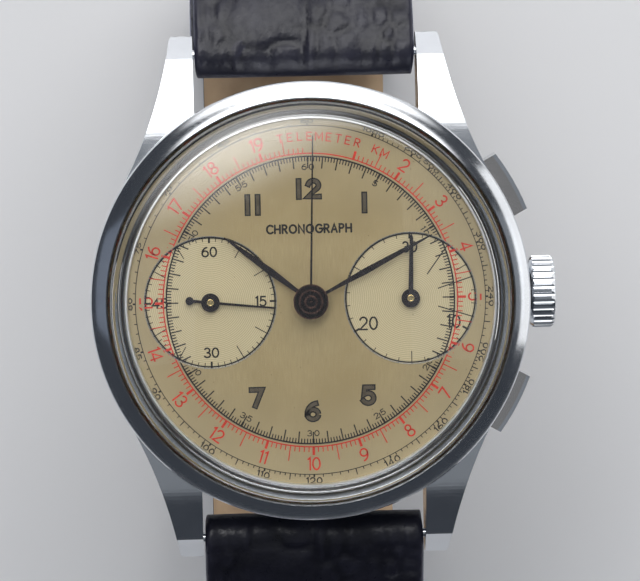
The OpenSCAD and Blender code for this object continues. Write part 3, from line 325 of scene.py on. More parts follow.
SPECIAL = {
    "case_back": grained_metal("brushed_back", rgb(0.72, 0.74, 0.77), 0.2, 7.0),
    "case_middle": polished_steel("worn_steel", BRIGHT, 0.13, 0.25),
    "bezel": polished_steel("bezel_steel", BRIGHT, 0.1, 0.2, gap_shade_r=BEZEL_GAP_SHADE_R),
    # Satin finish, with its colour a little lighter than the other steel, as painted brightness for the light
    # the ring mirrors.
    "tension_ring": polished_steel("satin_ring", rgb(0.88, 0.89, 0.9), 0.35, 0.45),
    "start_pusher": PUSHER_STEEL,
    "reset_pusher": PUSHER_STEEL,
    "chrono_seconds_hand": lacquer("hub_lacquer", HAND_BLACK, 0.16, hub_r=HUB_R),
}
LINING = leather("tan_lining", rgb(0.30, 0.20, 0.12), rgb(0.42, 0.30, 0.19), 0.62, 0.22, 0.015, 0.1)
EDGE = leather("edge_paint", rgb(0.010, 0.009, 0.011), rgb(0.02, 0.018, 0.022), 0.5, 0.6, 0.01, 0.1)
THREAD = leather("thread", rgb(0.012, 0.012, 0.018), rgb(0.03, 0.03, 0.042), 0.6, 0.12, 0.02, 0.3)
INK_BLACK = ink("ink_black", rgb(0.012, 0.010, 0.009))
INK_RED = ink("ink_red", rgb(0.58, 0.035, 0.018))
LUME = ink("aged_lume", rgb(0.085, 0.068, 0.044))


def finish_cad_nodes():
    """Gives every carried-over CAD node the material of its record slot, or its own where it has one."""
    for part in frame["record"]["subparts"]:
        mesh = frame["nodes"][part["node"]].data
        mesh.materials.clear()
        mesh.materials.append(SPECIAL.get(part["node"], MATERIALS[part["material_slot"]]))


# ---- Mesh helpers ----

def add_mesh(name, points_mm, faces, materials, slot, body="case", smooth=True, face_materials=None):
    """A mesh object riding on a CAD body."""
    mesh = bpy.data.meshes.new(name)
    mesh.from_pydata([Vector(p) * MM for p in points_mm], [], faces)
    for material in materials:
        mesh.materials.append(material)
    if face_materials:
        mesh.polygons.foreach_set("material_index", face_materials)
    mesh.polygons.foreach_set("use_smooth", [smooth] * len(mesh.polygons))
    mesh.validate()
    obj = bpy.data.objects.new(name, mesh)
    bpy.context.scene.collection.objects.link(obj)
    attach(obj, body)
    return obj


def volume(points, faces):
    """Signed volume of a closed shape: positive where its faces look outwards."""
    total = 0.0
    for face in faces:
        first = Vector(points[face[0]])
        for a, b in zip(face[1:], face[2:]):
            total += first.dot(Vector(points[a]).cross(Vector(points[b])))
    return total / 6


def loft(rings, into_loop=False):
    """A closed shape through rings of equal length, with flat ends or joined into a loop, facing outwards."""
    points = [p for ring in rings for p in ring]
    count = len(rings[0])
    faces = []
    for i in range(len(rings) if into_loop else len(rings) - 1):
        here, there = i * count, (i + 1) % len(rings) * count
        for j in range(count):
            k = (j + 1) % count
            faces.append((here + j, here + k, there + k, there + j))
    if not into_loop:
        last = (len(rings) - 1) * count
        faces.append(tuple(reversed(range(count))))
        faces.append(tuple(range(last, last + count)))
    if volume(points, faces) < 0:
        faces = [tuple(reversed(face)) for face in faces]
    return points, faces


def turned(section, steps=180, x=0.0):
    """A closed (radius, height) section turned about an upright axis at x."""
    rings = [[(x + r * math.cos(2 * math.pi * i / steps), r * math.sin(2 * math.pi * i / steps), z)
              for r, z in section] for i in range(steps)]
    return loft(rings, into_loop=True)


def turned_cap(section, steps=180):
    """A shell whose section starts on the case's axis on its outer face and ends there on its inner face."""
    rim = section[1:-1]
    count, total = len(rim), steps * len(rim)
    points = [(r * math.cos(2 * math.pi * i / steps), r * math.sin(2 * math.pi * i / steps), z)
              for i in range(steps) for r, z in rim]
    points += [(0.0, 0.0, section[0][1]), (0.0, 0.0, section[-1][1])]
    faces = []
    for i in range(steps):
        here, there = i * count, (i + 1) % steps * count
        faces += [(here + j, here + j + 1, there + j + 1, there + j) for j in range(count - 1)]
        faces.append((total, here, there))
        faces.append((total + 1, there + count - 1, here + count - 1))
    return points, faces


# ---- Dial printing ----

def bow(x, y, radius_x, radius_y, start, end, steps=14):
    """Points of an elliptic arc between two angles in degrees."""
    angles = [math.radians(start + (end - start) * i / steps) for i in range(steps + 1)]
    return [(x + radius_x * math.cos(angle), y + radius_y * math.sin(angle)) for angle in angles]


def turned_over(strokes, width):
    """The same strokes upside down, in a glyph of that width."""
    return [[(width - x, 1 - y) for x, y in stroke] for stroke in strokes]


# Strokes of each character, one unit tall, with its width first
SIX = [bow(0.3, 0.31, 0.3, 0.31, 0, 360), bow(0.56, 0.33, 0.56, 0.67, 180, 100)]
GLYPHS = {
    "0": (0.6, [bow(0.3, 0.5, 0.3, 0.5, 90, 450)]),
    "1": (0.2, [[(0.02, 0.88), (0.18, 1.0), (0.18, 0.0)]]),
    "2": (0.6, [bow(0.3, 0.71, 0.28, 0.29, 165, -40) + [(0.0, 0.0), (0.6, 0.0)]]),
    "3": (0.58, [bow(0.27, 0.75, 0.25, 0.25, 150, -90), bow(0.27, 0.26, 0.3, 0.26, 90, -150)]),
    "4": (0.64, [[(0.46, 0.0), (0.46, 1.0), (0.0, 0.28), (0.64, 0.28)]]),
    "5": (0.6, [[(0.54, 1.0), (0.12, 1.0), (0.07, 0.55)] + bow(0.29, 0.32, 0.3, 0.32, 125, -150)]),
    "6": (0.6, SIX),
    "7": (0.56, [[(0.0, 1.0), (0.56, 1.0), (0.2, 0.0)]]),
    "8": (0.6, [bow(0.3, 0.76, 0.23, 0.24, 0, 360), bow(0.3, 0.26, 0.3, 0.26, 0, 360)]),
    "9": (0.6, turned_over(SIX, 0.6)),
    "A": (0.8, [[(0.0, 0.0), (0.4, 1.0), (0.8, 0.0)], [(0.14, 0.34), (0.66, 0.34)]]),
    "C": (0.8, [bow(0.5, 0.5, 0.5, 0.5, 45, 315)]),
    "E": (0.6, [[(0.6, 1.0), (0.0, 1.0), (0.0, 0.0), (0.6, 0.0)], [(0.0, 0.5), (0.5, 0.5)]]),
    "G": (0.9, [bow(0.5, 0.5, 0.5, 0.5, 45, 360) + [(0.58, 0.5)]]),
    "H": (0.75, [[(0.0, 0.0), (0.0, 1.0)], [(0.75, 0.0), (0.75, 1.0)], [(0.0, 0.5), (0.75, 0.5)]]),
    "K": (0.7, [[(0.0, 0.0), (0.0, 1.0)], [(0.7, 1.0), (0.0, 0.4)], [(0.22, 0.58), (0.7, 0.0)]]),
    "L": (0.55, [[(0.0, 1.0), (0.0, 0.0), (0.55, 0.0)]]),
    "M": (0.9, [[(0.0, 0.0), (0.0, 1.0), (0.45, 0.25), (0.9, 1.0), (0.9, 0.0)]]),
    "N": (0.75, [[(0.0, 0.0), (0.0, 1.0), (0.75, 0.0), (0.75, 1.0)]]),
    "O": (1.0, [bow(0.5, 0.5, 0.5, 0.5, 90, 450)]),
    "|": (0.12, [[(0.06, 0.0), (0.06, 1.0)]]),
    "P": (0.6, [[(0.0, 0.0), (0.0, 1.0), (0.3, 1.0)] + bow(0.33, 0.75, 0.27, 0.25, 90, -90) + [(0.0, 0.5)]]),
    "R": (0.65, [[(0.0, 0.0), (0.0, 1.0), (0.3, 1.0)] + bow(0.33, 0.75, 0.27, 0.25, 90, -90) + [(0.0, 0.5)],
                 [(0.28, 0.5), (0.65, 0.0)]]),
    "T": (0.7, [[(0.0, 1.0), (0.7, 1.0)], [(0.35, 1.0), (0.35, 0.0)]]),
    " ": (0.5, []),
}
CAP_STEPS = 4


def on_clock(radius, degrees):
    """The point at that radius, that many degrees clockwise from 12."""
    return radius * math.sin(math.radians(degrees)), radius * math.cos(math.radians(degrees))


class Print:
    """Flat printing in one mesh, lying on the dial or in a sunk small dial where it crosses one."""

    def __init__(self, lift_mm, square_ends=False):
        self.lift = lift_mm
        self.square_ends = square_ends
        self.points = []
        self.faces = []

    def ground(self, x, y):
        sunk = math.hypot(abs(x) - SMALL_DIAL_X, y) < SMALL_DIAL_R
        return DIAL_TOP - (SMALL_DIAL_DEPTH if sunk else 0) + self.lift

    def face(self, corners):
        start = len(self.points)
        self.points += [(x, y, self.ground(x, y)) for x, y in corners]
        self.faces.append(tuple(range(start, start + len(corners))))

    def line(self, path, width):
        """A line of constant width with mitred corners and round or square ends."""
        half = width / 2
        sides = []
        for i, (x, y) in enumerate(path):
            before = path[max(i - 1, 0)]
            after = path[min(i + 1, len(path) - 1)]
            into = Vector((x - before[0], y - before[1])).normalized() if i else None
            out = Vector((after[0] - x, after[1] - y)).normalized() if i < len(path) - 1 else None
            along = ((into or out) + (out or into)).normalized()
            spread = half / max(0.45, along.dot(out or into))
            sides.append(((x - along.y * spread, y + along.x * spread),
                          (x + along.y * spread, y - along.x * spread)))
        for (a, b), (c, d) in zip(sides, sides[1:]):
            self.face([a, b, d, c])
        if path[0] != path[-1]:
            self.cap(path[0], path[1], half)
            self.cap(path[-1], path[-2], half)

    def cap(self, end, inner, half):
        heading = math.atan2(end[1] - inner[1], end[0] - inner[0])
        if self.square_ends:
            dx, dy = half * math.cos(heading), half * math.sin(heading)
            self.face([(end[0] + dy, end[1] - dx), (end[0] + dx + dy, end[1] + dy - dx),
                       (end[0] + dx - dy, end[1] + dy + dx), (end[0] - dy, end[1] + dx)])
            return
        angles = [heading + math.pi * (i / CAP_STEPS - 0.5) for i in range(CAP_STEPS + 1)]
        self.face([(end[0] + half * math.cos(angle), end[1] + half * math.sin(angle)) for angle in angles])

    def tick(self, degrees, inner, outer, width, centre=(0.0, 0.0)):
        """A radial tick with square ends."""
        across = math.radians(degrees)
        dx, dy = math.cos(across) * width / 2, -math.sin(across) * width / 2
        (ax, ay), (bx, by) = on_clock(inner, degrees), on_clock(outer, degrees)
        corners = [(ax - dx, ay - dy), (bx - dx, by - dy), (bx + dx, by + dy), (ax + dx, ay + dy)]
        self.face([(x + centre[0], y + centre[1]) for x, y in corners])

    def circle(self, radius, width, centre=(0.0, 0.0), steps=360):
        inner, outer = radius - width / 2, radius + width / 2
        for i in range(steps):
            a, b = 360 * i / steps, 360 * (i + 1) / steps
            corners = [on_clock(inner, a), on_clock(outer, a), on_clock(outer, b), on_clock(inner, b)]
            self.face([(x + centre[0], y + centre[1]) for x, y in corners])

    def text(self, words, height, stroke, middle, turn=0.0, gap=0.22, stretch=1.0):
        """Characters of that height centred on a point, turned clockwise by turn degrees."""
        width = sum(GLYPHS[c][0] for c in words) * stretch + gap * (len(words) - 1)
        cosine, sine = math.cos(math.radians(-turn)), math.sin(math.radians(-turn))
        x = -width / 2
        for character in words:
            advance, strokes = GLYPHS[character]
            for stroke_path in strokes:
                placed = [((x + px * stretch) * height, (py - 0.5) * height) for px, py in stroke_path]
                self.line([(middle[0] + px * cosine - py * sine, middle[1] + px * sine + py * cosine)
                           for px, py in placed], stroke)
            x += advance * stretch + gap

    def ring_text(self, words, height, stroke, radius, degrees, gap=0.22, stretch=1.0):
        """Text on a ring, its tops outward in the upper half and inward in the lower half."""
        degrees = degrees % 360
        turn = degrees + (180 if 92 < degrees < 268 else 0)
        self.text(words, height, stroke, on_clock(radius, degrees), turn, gap, stretch)

    def build(self, name, material, thickness_mm=0.006):
        obj = add_mesh(name, self.points, self.faces, [material], "dial_face", smooth=False)
        thicken = obj.modifiers.new("thickness", "SOLIDIFY")
        thicken.thickness = thickness_mm * MM
        thicken.offset = -1
        return obj


LIFT = 0.012
SECONDS_R = 11.55
TELEMETER_R = 11.8
TELEMETER_NUMBER_R = 13.17
TACHYMETER_R = 14.03
TACHYMETER_NUMBER_R = 14.57
TACHYMETER_NUMBERS = (60, 65, 70, 75, 80, 85, 90, 100, 110, 120, 140, 160, 180, 200, 240, 300, 400, 500,
                      600, 1000)
TACHYMETER_LONG_TICKS = (95, 105, 115, 130, 150, 170, 190, 220, 270, 350, 450)
SMALL_TRACK_R = 5.17
HOUR_NUMERAL_R = 8.95


def print_seconds_track(black):
    """The outer seconds scale, divided into fifths of a second, with a number every five seconds."""
    black.circle(SECONDS_R, 0.12)
    for fifth in range(300):
        long_tick = fifth % 5 == 0
        length, width = (0.95, 0.1) if long_tick else (0.39, 0.085)
        black.tick(fifth * 1.2, SECONDS_R - length, SECONDS_R, width)
    for second in range(5, 65, 5):
        black.tick(second * 6, SECONDS_R - 0.39, SECONDS_R, 0.17)
        if second in (15, 45):
            continue
        black.ring_text(str(second), 0.43, 0.075, SECONDS_R - 0.84, second * 6, gap=0.55, stretch=1.35)


def print_telemeter(red):
    """The red distance scale, 18 degrees to the kilometre and ten divisions in each."""
    sizes = {0: (0.67, 0.2), 5: (1.24, 0.08)}  # (length, width) of a whole and a half kilometre's tick
    red.circle(TELEMETER_R, 0.1)
    for tenth in range(10, 200):
        length, width = sizes.get(tenth % 10, (0.43, 0.08))
        red.tick(tenth * 1.8, TELEMETER_R, TELEMETER_R + length, width)
    for km in range(2, 20):
        red.ring_text(str(km), 0.96, 0.13, TELEMETER_NUMBER_R, km * 18, gap=0.2)
    for i, letter in enumerate("TELEMETER KM"):
        red.ring_text(letter, 0.62, 0.095, TELEMETER_NUMBER_R, -9.5 + i * 3.4)


def print_tachymeter(black):
    """The outer speed scale: 3600 divided by the seconds for one kilometre."""
    black.circle(TACHYMETER_R, 0.06)
    for first, last, step in ((60, 120, 1), (120, 200, 2), (200, 300, 5), (300, 500, 10), (500, 1001, 50)):
        for speed in range(first, last, step):
            length, width = 0.22, 0.07
            if speed in TACHYMETER_LONG_TICKS:
                length, width = 0.5, 0.08
            elif speed in TACHYMETER_NUMBERS:
                width = 0.14
            black.tick(360 * 60 / speed, TACHYMETER_R, TACHYMETER_R + length, width)
    for speed in TACHYMETER_NUMBERS:
        black.ring_text(str(speed), 0.54, 0.1, TACHYMETER_NUMBER_R, 360 * 60 / speed, gap=0.3, stretch=1.2)


def print_small_seconds(black):
    """The small seconds scale, with its four numbers."""
    middle = (-SMALL_DIAL_X, 0.0)
    black.circle(SMALL_TRACK_R, 0.1, middle, 180)
    for second in range(60):
        length, width = 0.29, 0.06
        if second % 15 == 0:
            length, width = 0.4, 0.16
        elif second % 5 == 0:
            length, width = 1.09, 0.07
        black.tick(second * 6, SMALL_TRACK_R - length, SMALL_TRACK_R, width, middle)
    for second in (15, 30, 45, 60):
        x, y = on_clock(4.05, second * 6)
        black.text(str(second), 0.74, 0.13, (middle[0] + x, middle[1] + y), stretch=1.1)


def print_minute_counter(black):
    """The 30-minute scale, with long marks at the three, six and nine minutes of a telephone call."""
    middle = (SMALL_DIAL_X, 0.0)
    black.circle(SMALL_TRACK_R, 0.1, middle, 180)
    for minute in range(30):
        length, width = {0: (0.4, 0.16), 5: (0.9, 0.07)}.get(minute % 10, (0.3, 0.06))
        if minute in (3, 6, 9):
            length, width = 2.87, 0.085
        black.tick(minute * 12, SMALL_TRACK_R - length, SMALL_TRACK_R, width, middle)
    for minute, radius, height in ((30, 4.1, 0.8), (10, 3.95, 0.98), (20, 3.95, 0.98)):
        x, y = on_clock(radius, minute * 12)
        black.text(str(minute), height, 0.14, (middle[0] + x, middle[1] + y))


HOUR_NUMERALS = {12: "|2", 11: "||", 1: "|", 5: "5", 6: "6", 7: "7"}


def print_hours(black, lume):
    """The six full numerals: an outline in ink and a filling of aged lume."""
    for hour, words in HOUR_NUMERALS.items():
        middle = on_clock(HOUR_NUMERAL_R, hour * 30)
        for layer, stroke in ((black, 0.48), (lume, 0.26)):
            layer.text(words, 1.28, stroke, middle, gap=0.5, stretch=1.15)


def print_dial():
    """All the printing, one mesh to each ink."""
    black, red = Print(LIFT), Print(LIFT)
    outline, lume = Print(LIFT, square_ends=True), Print(LIFT + 0.012, square_ends=True)
    print_seconds_track(black)
    print_telemeter(red)
    print_tachymeter(black)
    print_small_seconds(black)
    print_minute_counter(black)
    print_hours(outline, lume)
    black.text("CHRONOGRAPH", 0.64, 0.155, (0.0, 5.75), gap=0.32, stretch=0.85)
    black.build("dial_print_black", INK_BLACK)
    outline.build("hour_numeral_outline", INK_BLACK)
    red.build("dial_print_red", INK_RED)
    lume.build("hour_numeral_lume", LUME)


def small_dial_rims():
    """The bright bevelled edge of each sunk small dial."""
    for name, x in (("small_seconds_rim", -SMALL_DIAL_X), ("minute_counter_rim", SMALL_DIAL_X)):
        section = [(SMALL_DIAL_R - 0.004, DIAL_TOP + 0.01), (SMALL_DIAL_R - 0.05, DIAL_TOP + 0.005),
                   (SMALL_DIAL_R - 0.13, DIAL_TOP - SMALL_DIAL_DEPTH + 0.004),
                   (SMALL_DIAL_R - 0.004, DIAL_TOP - SMALL_DIAL_DEPTH + 0.004)]
        add_mesh(name, *turned(section, 120, x), [STEEL], "polished_steel", smooth=False)


def small_hand_tubes():
    """The gilt tube that shows in the middle of each small hand."""
    for node, body, x in (("small_seconds_hand", "seconds_works", -SMALL_DIAL_X),
                          ("minute_counter_hand", "counter_works", SMALL_DIAL_X)):
        top = box_mm(node)[1].z
        section = [(0.16, top + 0.03), (0.27, top + 0.03), (0.31, top - 0.01), (0.16, top - 0.01)]
        add_mesh(node + "_tube", *turned(section, 48, x), [MATERIALS["wheel_brass"]], "wheel_brass", body)


# ---- Crystal ----

def crystal():
    """The domed acrylic crystal: a steep wall, a round shoulder and a shallow dome."""
    low, high = box_mm("crystal")
    foot_r = high.x
    wall_r, shoulder, slope = foot_r - 0.25, 0.45, math.radians(12.3)
    edge_r = wall_r - shoulder * (1 - math.sin(slope))
    edge_z = high.z - edge_r * math.tan(slope / 2)
    wall_z = edge_z - shoulder * math.cos(slope)
    dome_r = edge_r / math.sin(slope)
    thick, inner_r, steps = 1.0, wall_r - 0.8, 28
    inner_slope = math.asin((inner_r - 0.4) / (dome_r - thick))

    def dome(radius, angle):
        return radius * math.sin(angle), high.z - dome_r + radius * math.cos(angle)

    section = [dome(dome_r, slope * i / steps) for i in range(steps + 1)]
    for i in range(1, 13):
        angle = (math.pi / 2 - slope) * (1 - i / 12)
        section.append((wall_r - shoulder * (1 - math.cos(angle)), wall_z + shoulder * math.sin(angle)))
    section += [(wall_r, low.z + 0.5), (wall_r, low.z + 0.38), (foot_r, low.z + 0.36), (foot_r, low.z),
                (inner_r, low.z), (inner_r, low.z + 0.2), (inner_r, wall_z - thick)]
    section += [dome(dome_r - thick, inner_slope * (1 - i / steps)) for i in range(steps + 1)]
    obj = add_mesh("crystal_dome", *turned_cap(section), [MATERIALS["acrylic"]], "acrylic")
    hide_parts("crystal")


# ---- Leather strap ----

BAR_Y = box_mm("spring_bars")[1].y - 0.75
BAR_Z = (box_mm("spring_bars")[0].z + box_mm("spring_bars")[1].z) / 2
START_HEADING = -20.0
LEAD = 2.0
BENDS = ((11.0, -55.0), (60.0, -20.0), (17.0, -85.0))  # (radius, turn) from the lugs to the flat bottom
STRAP_LENGTH = 72.0
THICK_LUG, THICK_END = 3.8, 2.2
TAPER = 26.0
FLAT_Z = -41.85
FLAT_Y = 13.32
TAIL_DROP = 2.4
TAIL_LENGTH = 36.0
TIP_LENGTH = 7.0
EDGE_THICK = 2.3       # the padded strap's thickness at its stitched edges
STEP = 0.32
COLUMNS = 68
UNDER_COLUMNS = 10
END_RINGS = 6


def bends(y, z, heading, turns, done):
    """Stations (y, z, heading, length) along a chain of arcs."""
    stations = []
    for radius, turn in turns:
        length = abs(math.radians(turn) * radius)
        count = max(1, round(length / STEP))
        for i in range(1, count + 1):
            here = heading + turn * i / count
            stations.append((y + radius * (math.sin(math.radians(heading)) - math.sin(math.radians(here))),
                             z + radius * (math.cos(math.radians(here)) - math.cos(math.radians(heading))),
                             here, done + length * i / count))
        y, z, heading, done = stations[-1]
    return stations


def straight(a, b):
    """Stations from a, not included, to b, with the heading turning evenly."""
    count = max(1, round(math.hypot(b[0] - a[0], b[1] - a[1]) / STEP))
    return [tuple(p + (q - p) * i / count for p, q in zip(a, b)) for i in range(1, count + 1)]


def side_stations():
    """The strap's middle line at the 12 side, from its spring bar to the flat bottom of the loop."""
    heading = math.radians(START_HEADING)
    start = (BAR_Y, BAR_Z, START_HEADING, 0.0)
    lead = (BAR_Y + LEAD * math.cos(heading), BAR_Z + LEAD * math.sin(heading), START_HEADING, LEAD)
    return [start] + straight(start, lead) + bends(*lead[:3], BENDS, LEAD)


def short_half_stations():
    """The 12 side: down to the flat bottom and along it to the buckle's bar."""
    stations = side_stations()
    return stations + straight(stations[-1], (0.0, FLAT_Z, -180.0, STRAP_LENGTH))


def long_half_stations():
    """The 6 side: down to the flat bottom, through the buckle, and on outside the short half as the tail."""
    cross_y, settle_y, steepest, steps = -12.5, 1.5, 15.0, 45
    stations = [(-y, z, 180 - heading, s) for y, z, heading, s in side_stations()]
    for i in range(1, steps + 1):
        t = i / steps
        z = FLAT_Z - TAIL_DROP * (1 - math.cos(math.pi * t)) / 2
        y = cross_y + (settle_y - cross_y) * t
        stations.append((y, z, -steepest * math.sin(math.pi * t), STRAP_LENGTH))
    stations += straight(stations[-1], (FLAT_Y, FLAT_Z - TAIL_DROP, 0.0, STRAP_LENGTH))
    radius = BENDS[-1][0] + TAIL_DROP
    turn = math.degrees((TAIL_LENGTH - FLAT_Y) / radius)
    return stations + bends(FLAT_Y, FLAT_Z - TAIL_DROP, 0.0, ((-radius, turn),), STRAP_LENGTH)


def run_along(stations):
    """Length along the strap at each station."""
    run = [0.0]
    for a, b in zip(stations, stations[1:]):
        run.append(run[-1] + math.hypot(b[0] - a[0], b[1] - a[1]))
    return run


def half_thick(s):
    """Half the strap's thickness in its middle, at length s."""
    return (THICK_END + (THICK_LUG - THICK_END) * max(0.0, 1 - s / TAPER)) / 2


def half_width(z):
    """Half the strap's width, which tapers as it goes down."""
    return 8.9 - 0.9 * min(1.0, max(0.0, (-4 - z) / 34))


def ease(value):
    """Smooth step from 0 to 1."""
    value = min(1.0, max(0.0, value))
    return value * value * (3 - 2 * value)


def edge_height(half, s):
    """Height of the outer face at the stitched edges, where the padding ends."""
    return half + (min(half, EDGE_THICK - half) - half) * ease((s - 1.5) / 8)


def scale_relief(u, s):
    """Depth in millimetres, at u across and s along, of the creases between the hide's scales."""
    wander = 0.7 * noise.noise(Vector((s / 6, 0, 3)))
    side = 1 if u > wander else 0
    row = (s + 0.9 * noise.noise(Vector((u / 3, s / 9, side * 5))) + side * 3.9) % 8.2
    crease = min(abs(u - wander), min(row, 8.2 - row))
    big = 0.30 * math.exp(-(crease / 0.30) ** 2) + 0.16 * (1 - ease(crease / 2.2))
    near, second = noise.voronoi(Vector((u / 1.55, s / 1.9, 2)))[0][:2]
    small = 0.20 * (1 - ease((second - near) / 0.35))
    edge_pebbles = ease((abs(u) - 5.0 + noise.noise(Vector((s / 4, u, 9)))) / 1.2)
    end_pebbles = ease((4.6 - s + 1.5 * noise.noise(Vector((u / 2.5, 4, 1)))) / 1.2) * ease((u + 0.5) / 1.5)
    share = max(edge_pebbles, end_pebbles)
    coarse = 0.035 * noise.noise(Vector((u * 2.4, s * 0.35, 7)))
    fine = 0.02 * noise.noise(Vector((u * 5, s * 0.8, 1)))
    return big * (1 - share) + small * share + (coarse + fine)


def strap_ring(station, outward, run, squeeze=1.0, narrow=1.0):
    """One cross-section of the strap, its outer face first and then its lining."""
    y, z, heading, s = station
    half = half_thick(s) * squeeze
    wide = (half_width(z) - 0.35 * (1 - squeeze)) * narrow
    normal = (-math.sin(math.radians(heading)) * outward, math.cos(math.radians(heading)) * outward)
    edge_top = edge_height(half, s)
    ring = []
    for j in range(COLUMNS + 1):
        x = wide * math.sin(math.pi * (j / COLUMNS - 0.5)) * 0.25 + wide * (2 * j / COLUMNS - 1) * 0.75
        pad = max(0.0, 1 - abs(x / (wide - 1.6)) ** 2.6)
        height = edge_top + (half - edge_top) * pad
        height -= scale_relief(x, run) * squeeze * ease((wide - abs(x)) / 0.8)
        lip = max(0.0, (abs(x) - wide + 0.55) / 0.55)
        height -= min(0.45, half) * (1 - math.sqrt(max(0.0, 1 - lip * lip)))
        ring.append((x, y + normal[0] * height, z + normal[1] * height))
    for j in range(UNDER_COLUMNS + 1):
        x = wide * (1 - 2 * j / UNDER_COLUMNS) * 0.995
        depth = half - (0.18 * squeeze if j in (0, UNDER_COLUMNS) else 0.0)
        ring.append((x, y - normal[0] * depth, z - normal[1] * depth))
    return ring


def rounded_end(station, backward, outward, run, narrow=1.0):
    """Rings that round off an end of the strap, from its tip to the given station."""
    y, z, heading, s = station
    half = half_thick(s)
    rings = []
    for i in range(END_RINGS):
        angle = 4 + 15.5 * i
        back = half * math.cos(math.radians(angle)) * backward
        back_y, back_z = back * math.cos(math.radians(heading)), back * math.sin(math.radians(heading))
        squeeze = math.sin(math.radians(angle))
        rings.append(strap_ring((y - back_y, z - back_z, heading, s), outward, run, squeeze, narrow))
    return rings


def tip_narrowing(left):
    """Share of the full width at that length short of the tail's rounded tip."""
    return 0.3 + 0.7 * math.sqrt(1 - (1 - min(1.0, left / TIP_LENGTH)) ** 2)


def strap_half(name, node, stations, outward, round_tip=False):
    """One half of the strap: grained leather outside, lining inside and painted edges and ends."""
    run = run_along(stations)
    rings = rounded_end(stations[0], 1, outward, 0.0)
    for station, length in zip(stations, run):
        narrow = tip_narrowing(run[-1] - length) if round_tip else 1.0
        rings.append(strap_ring(station, outward, length, narrow=narrow))
    tip_width = tip_narrowing(0.0) if round_tip else 1.0
    rings += reversed(rounded_end(stations[-1], -1, outward, run[-1], tip_width))
    points, faces = loft(rings)
    count = COLUMNS + UNDER_COLUMNS + 2
    face_materials = []
    for face in faces:
        columns = [v % count for v in face]
        on_an_end = min(face) // count < END_RINGS or max(face) // count >= len(rings) - END_RINGS
        if max(columns) <= COLUMNS and len(face) == 4:
            face_materials.append(0)
        elif min(columns) > COLUMNS and not on_an_end:
            face_materials.append(1)
        else:
            face_materials.append(2)
    obj = add_mesh(name, points, faces, [MATERIALS["black_leather"], LINING, EDGE], "black_leather",
                   face_materials=face_materials)
    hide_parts(node)
    return obj


def cut(obj, cutters):
    """Cuts closed shapes, given as (points, faces), out of a piece and keeps only the result."""
    tools = []
    for i, (points, faces) in enumerate(cutters):
        mesh = bpy.data.meshes.new(f"cutter_{i}")
        mesh.from_pydata([Vector(p) * MM for p in points], [], faces)
        tool = bpy.data.objects.new(f"cutter_{i}", mesh)
        bpy.context.scene.collection.objects.link(tool)
        tools.append(tool)
        modifier = obj.modifiers.new(f"cut_{i}", "BOOLEAN")
        modifier.operation = "DIFFERENCE"
        modifier.solver = "EXACT"
        modifier.object = tool
    bpy.context.view_layer.update()
    evaluated = obj.evaluated_get(bpy.context.evaluated_depsgraph_get())
    result = bpy.data.meshes.new_from_object(evaluated)
    obj.modifiers.clear()
    obj.data = result
    for tool in tools:
        bpy.data.objects.remove(tool)


def prism(outline, height, place):
    """A closed prism. outline is [(x, y)] and place is the matrix that puts it, drawn along its own Z."""
    rings = [[place @ Vector((x, y, z)) for x, y in outline] for z in (-height / 2, height / 2)]
    return loft(rings)


def circle_outline(radius, steps=20):
    angles = [2 * math.pi * i / steps for i in range(steps)]
    return [(radius * math.cos(angle), radius * math.sin(angle)) for angle in angles]


def stitches(name, stations, outward, first, last):
    """Two rows of thread, one stitch at a time, sunk a little into the strap's edges."""
    spacing, length, radius, inset = 2.7, 1.9, 0.17, 1.45
    run = run_along(stations)
    points, faces = [], []
    count = int((min(last, run[-1]) - first) / spacing)
    for side in (-1, 1):
        for i in range(count):
            rings = []
            for k, swell in enumerate((0.25, 0.8, 1.0, 1.0, 0.8, 0.25)):
                want = first + i * spacing + length * k / 5
                index = min(range(len(run)), key=lambda n: abs(run[n] - want))
                y, z, heading, s = stations[index]
                up = (-math.sin(math.radians(heading)) * outward, math.cos(math.radians(heading)) * outward)
                forward = (math.cos(math.radians(heading)), math.sin(math.radians(heading)))
                top = edge_height(half_thick(s), s) - 0.05 - 0.12 * (1 - swell)
                slip = want - run[index]
                cx = side * (half_width(z) - inset)
                cy, cz = y + up[0] * top + forward[0] * slip, z + up[1] * top + forward[1] * slip
                rings.append([(cx + radius * swell * math.cos(a), cy + up[0] * radius * swell * math.sin(a),
                               cz + up[1] * radius * swell * math.sin(a))
                              for a in (math.pi * n / 4 for n in range(8))])
            new_points, new_faces = loft(rings)
            faces += [tuple(v + len(points) for v in face) for face in new_faces]
            points += new_points
    return add_mesh(name, points, faces, [THREAD], "black_leather")


def rounded_box(left, right, low, high, radius, steps):
    """(x, y, direction) of each corner point of a box with round corners, seen from the corner's centre."""
    corners = ((right - radius, high - radius, 90), (right - radius, low + radius, 0),
               (left + radius, low + radius, -90), (left + radius, high - radius, -180))
    return [(x, y, math.radians(first - 90 * i / steps)) for x, y, first in corners for i in range(steps + 1)]


def keeper(name, node, body, place):
    """A leather loop with rounded edges round both layers of the strap."""
    inner_x, top, bottom, thick, wide = 8.2, 1.3, 3.7, 0.9, 4.0
    corner, rounding = 0.5, 0.28
    section = [(along + rounding * math.cos(a), out + rounding * math.sin(a))
               for along, out, a in rounded_box(-wide / 2, wide / 2, corner, corner + thick, rounding, 3)]
    rings = [[place @ Vector((x + out * math.cos(a), along, z + out * math.sin(a))) for along, out in section]
             for x, z, a in rounded_box(-inner_x, inner_x, -bottom, top, corner, 6)]
    obj = add_mesh(name, *loft(rings, into_loop=True), [MATERIALS["black_leather"]], "black_leather", body)
    soften = obj.modifiers.new("soften", "SUBSURF")
    soften.levels = soften.render_levels = 2
    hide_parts(node)


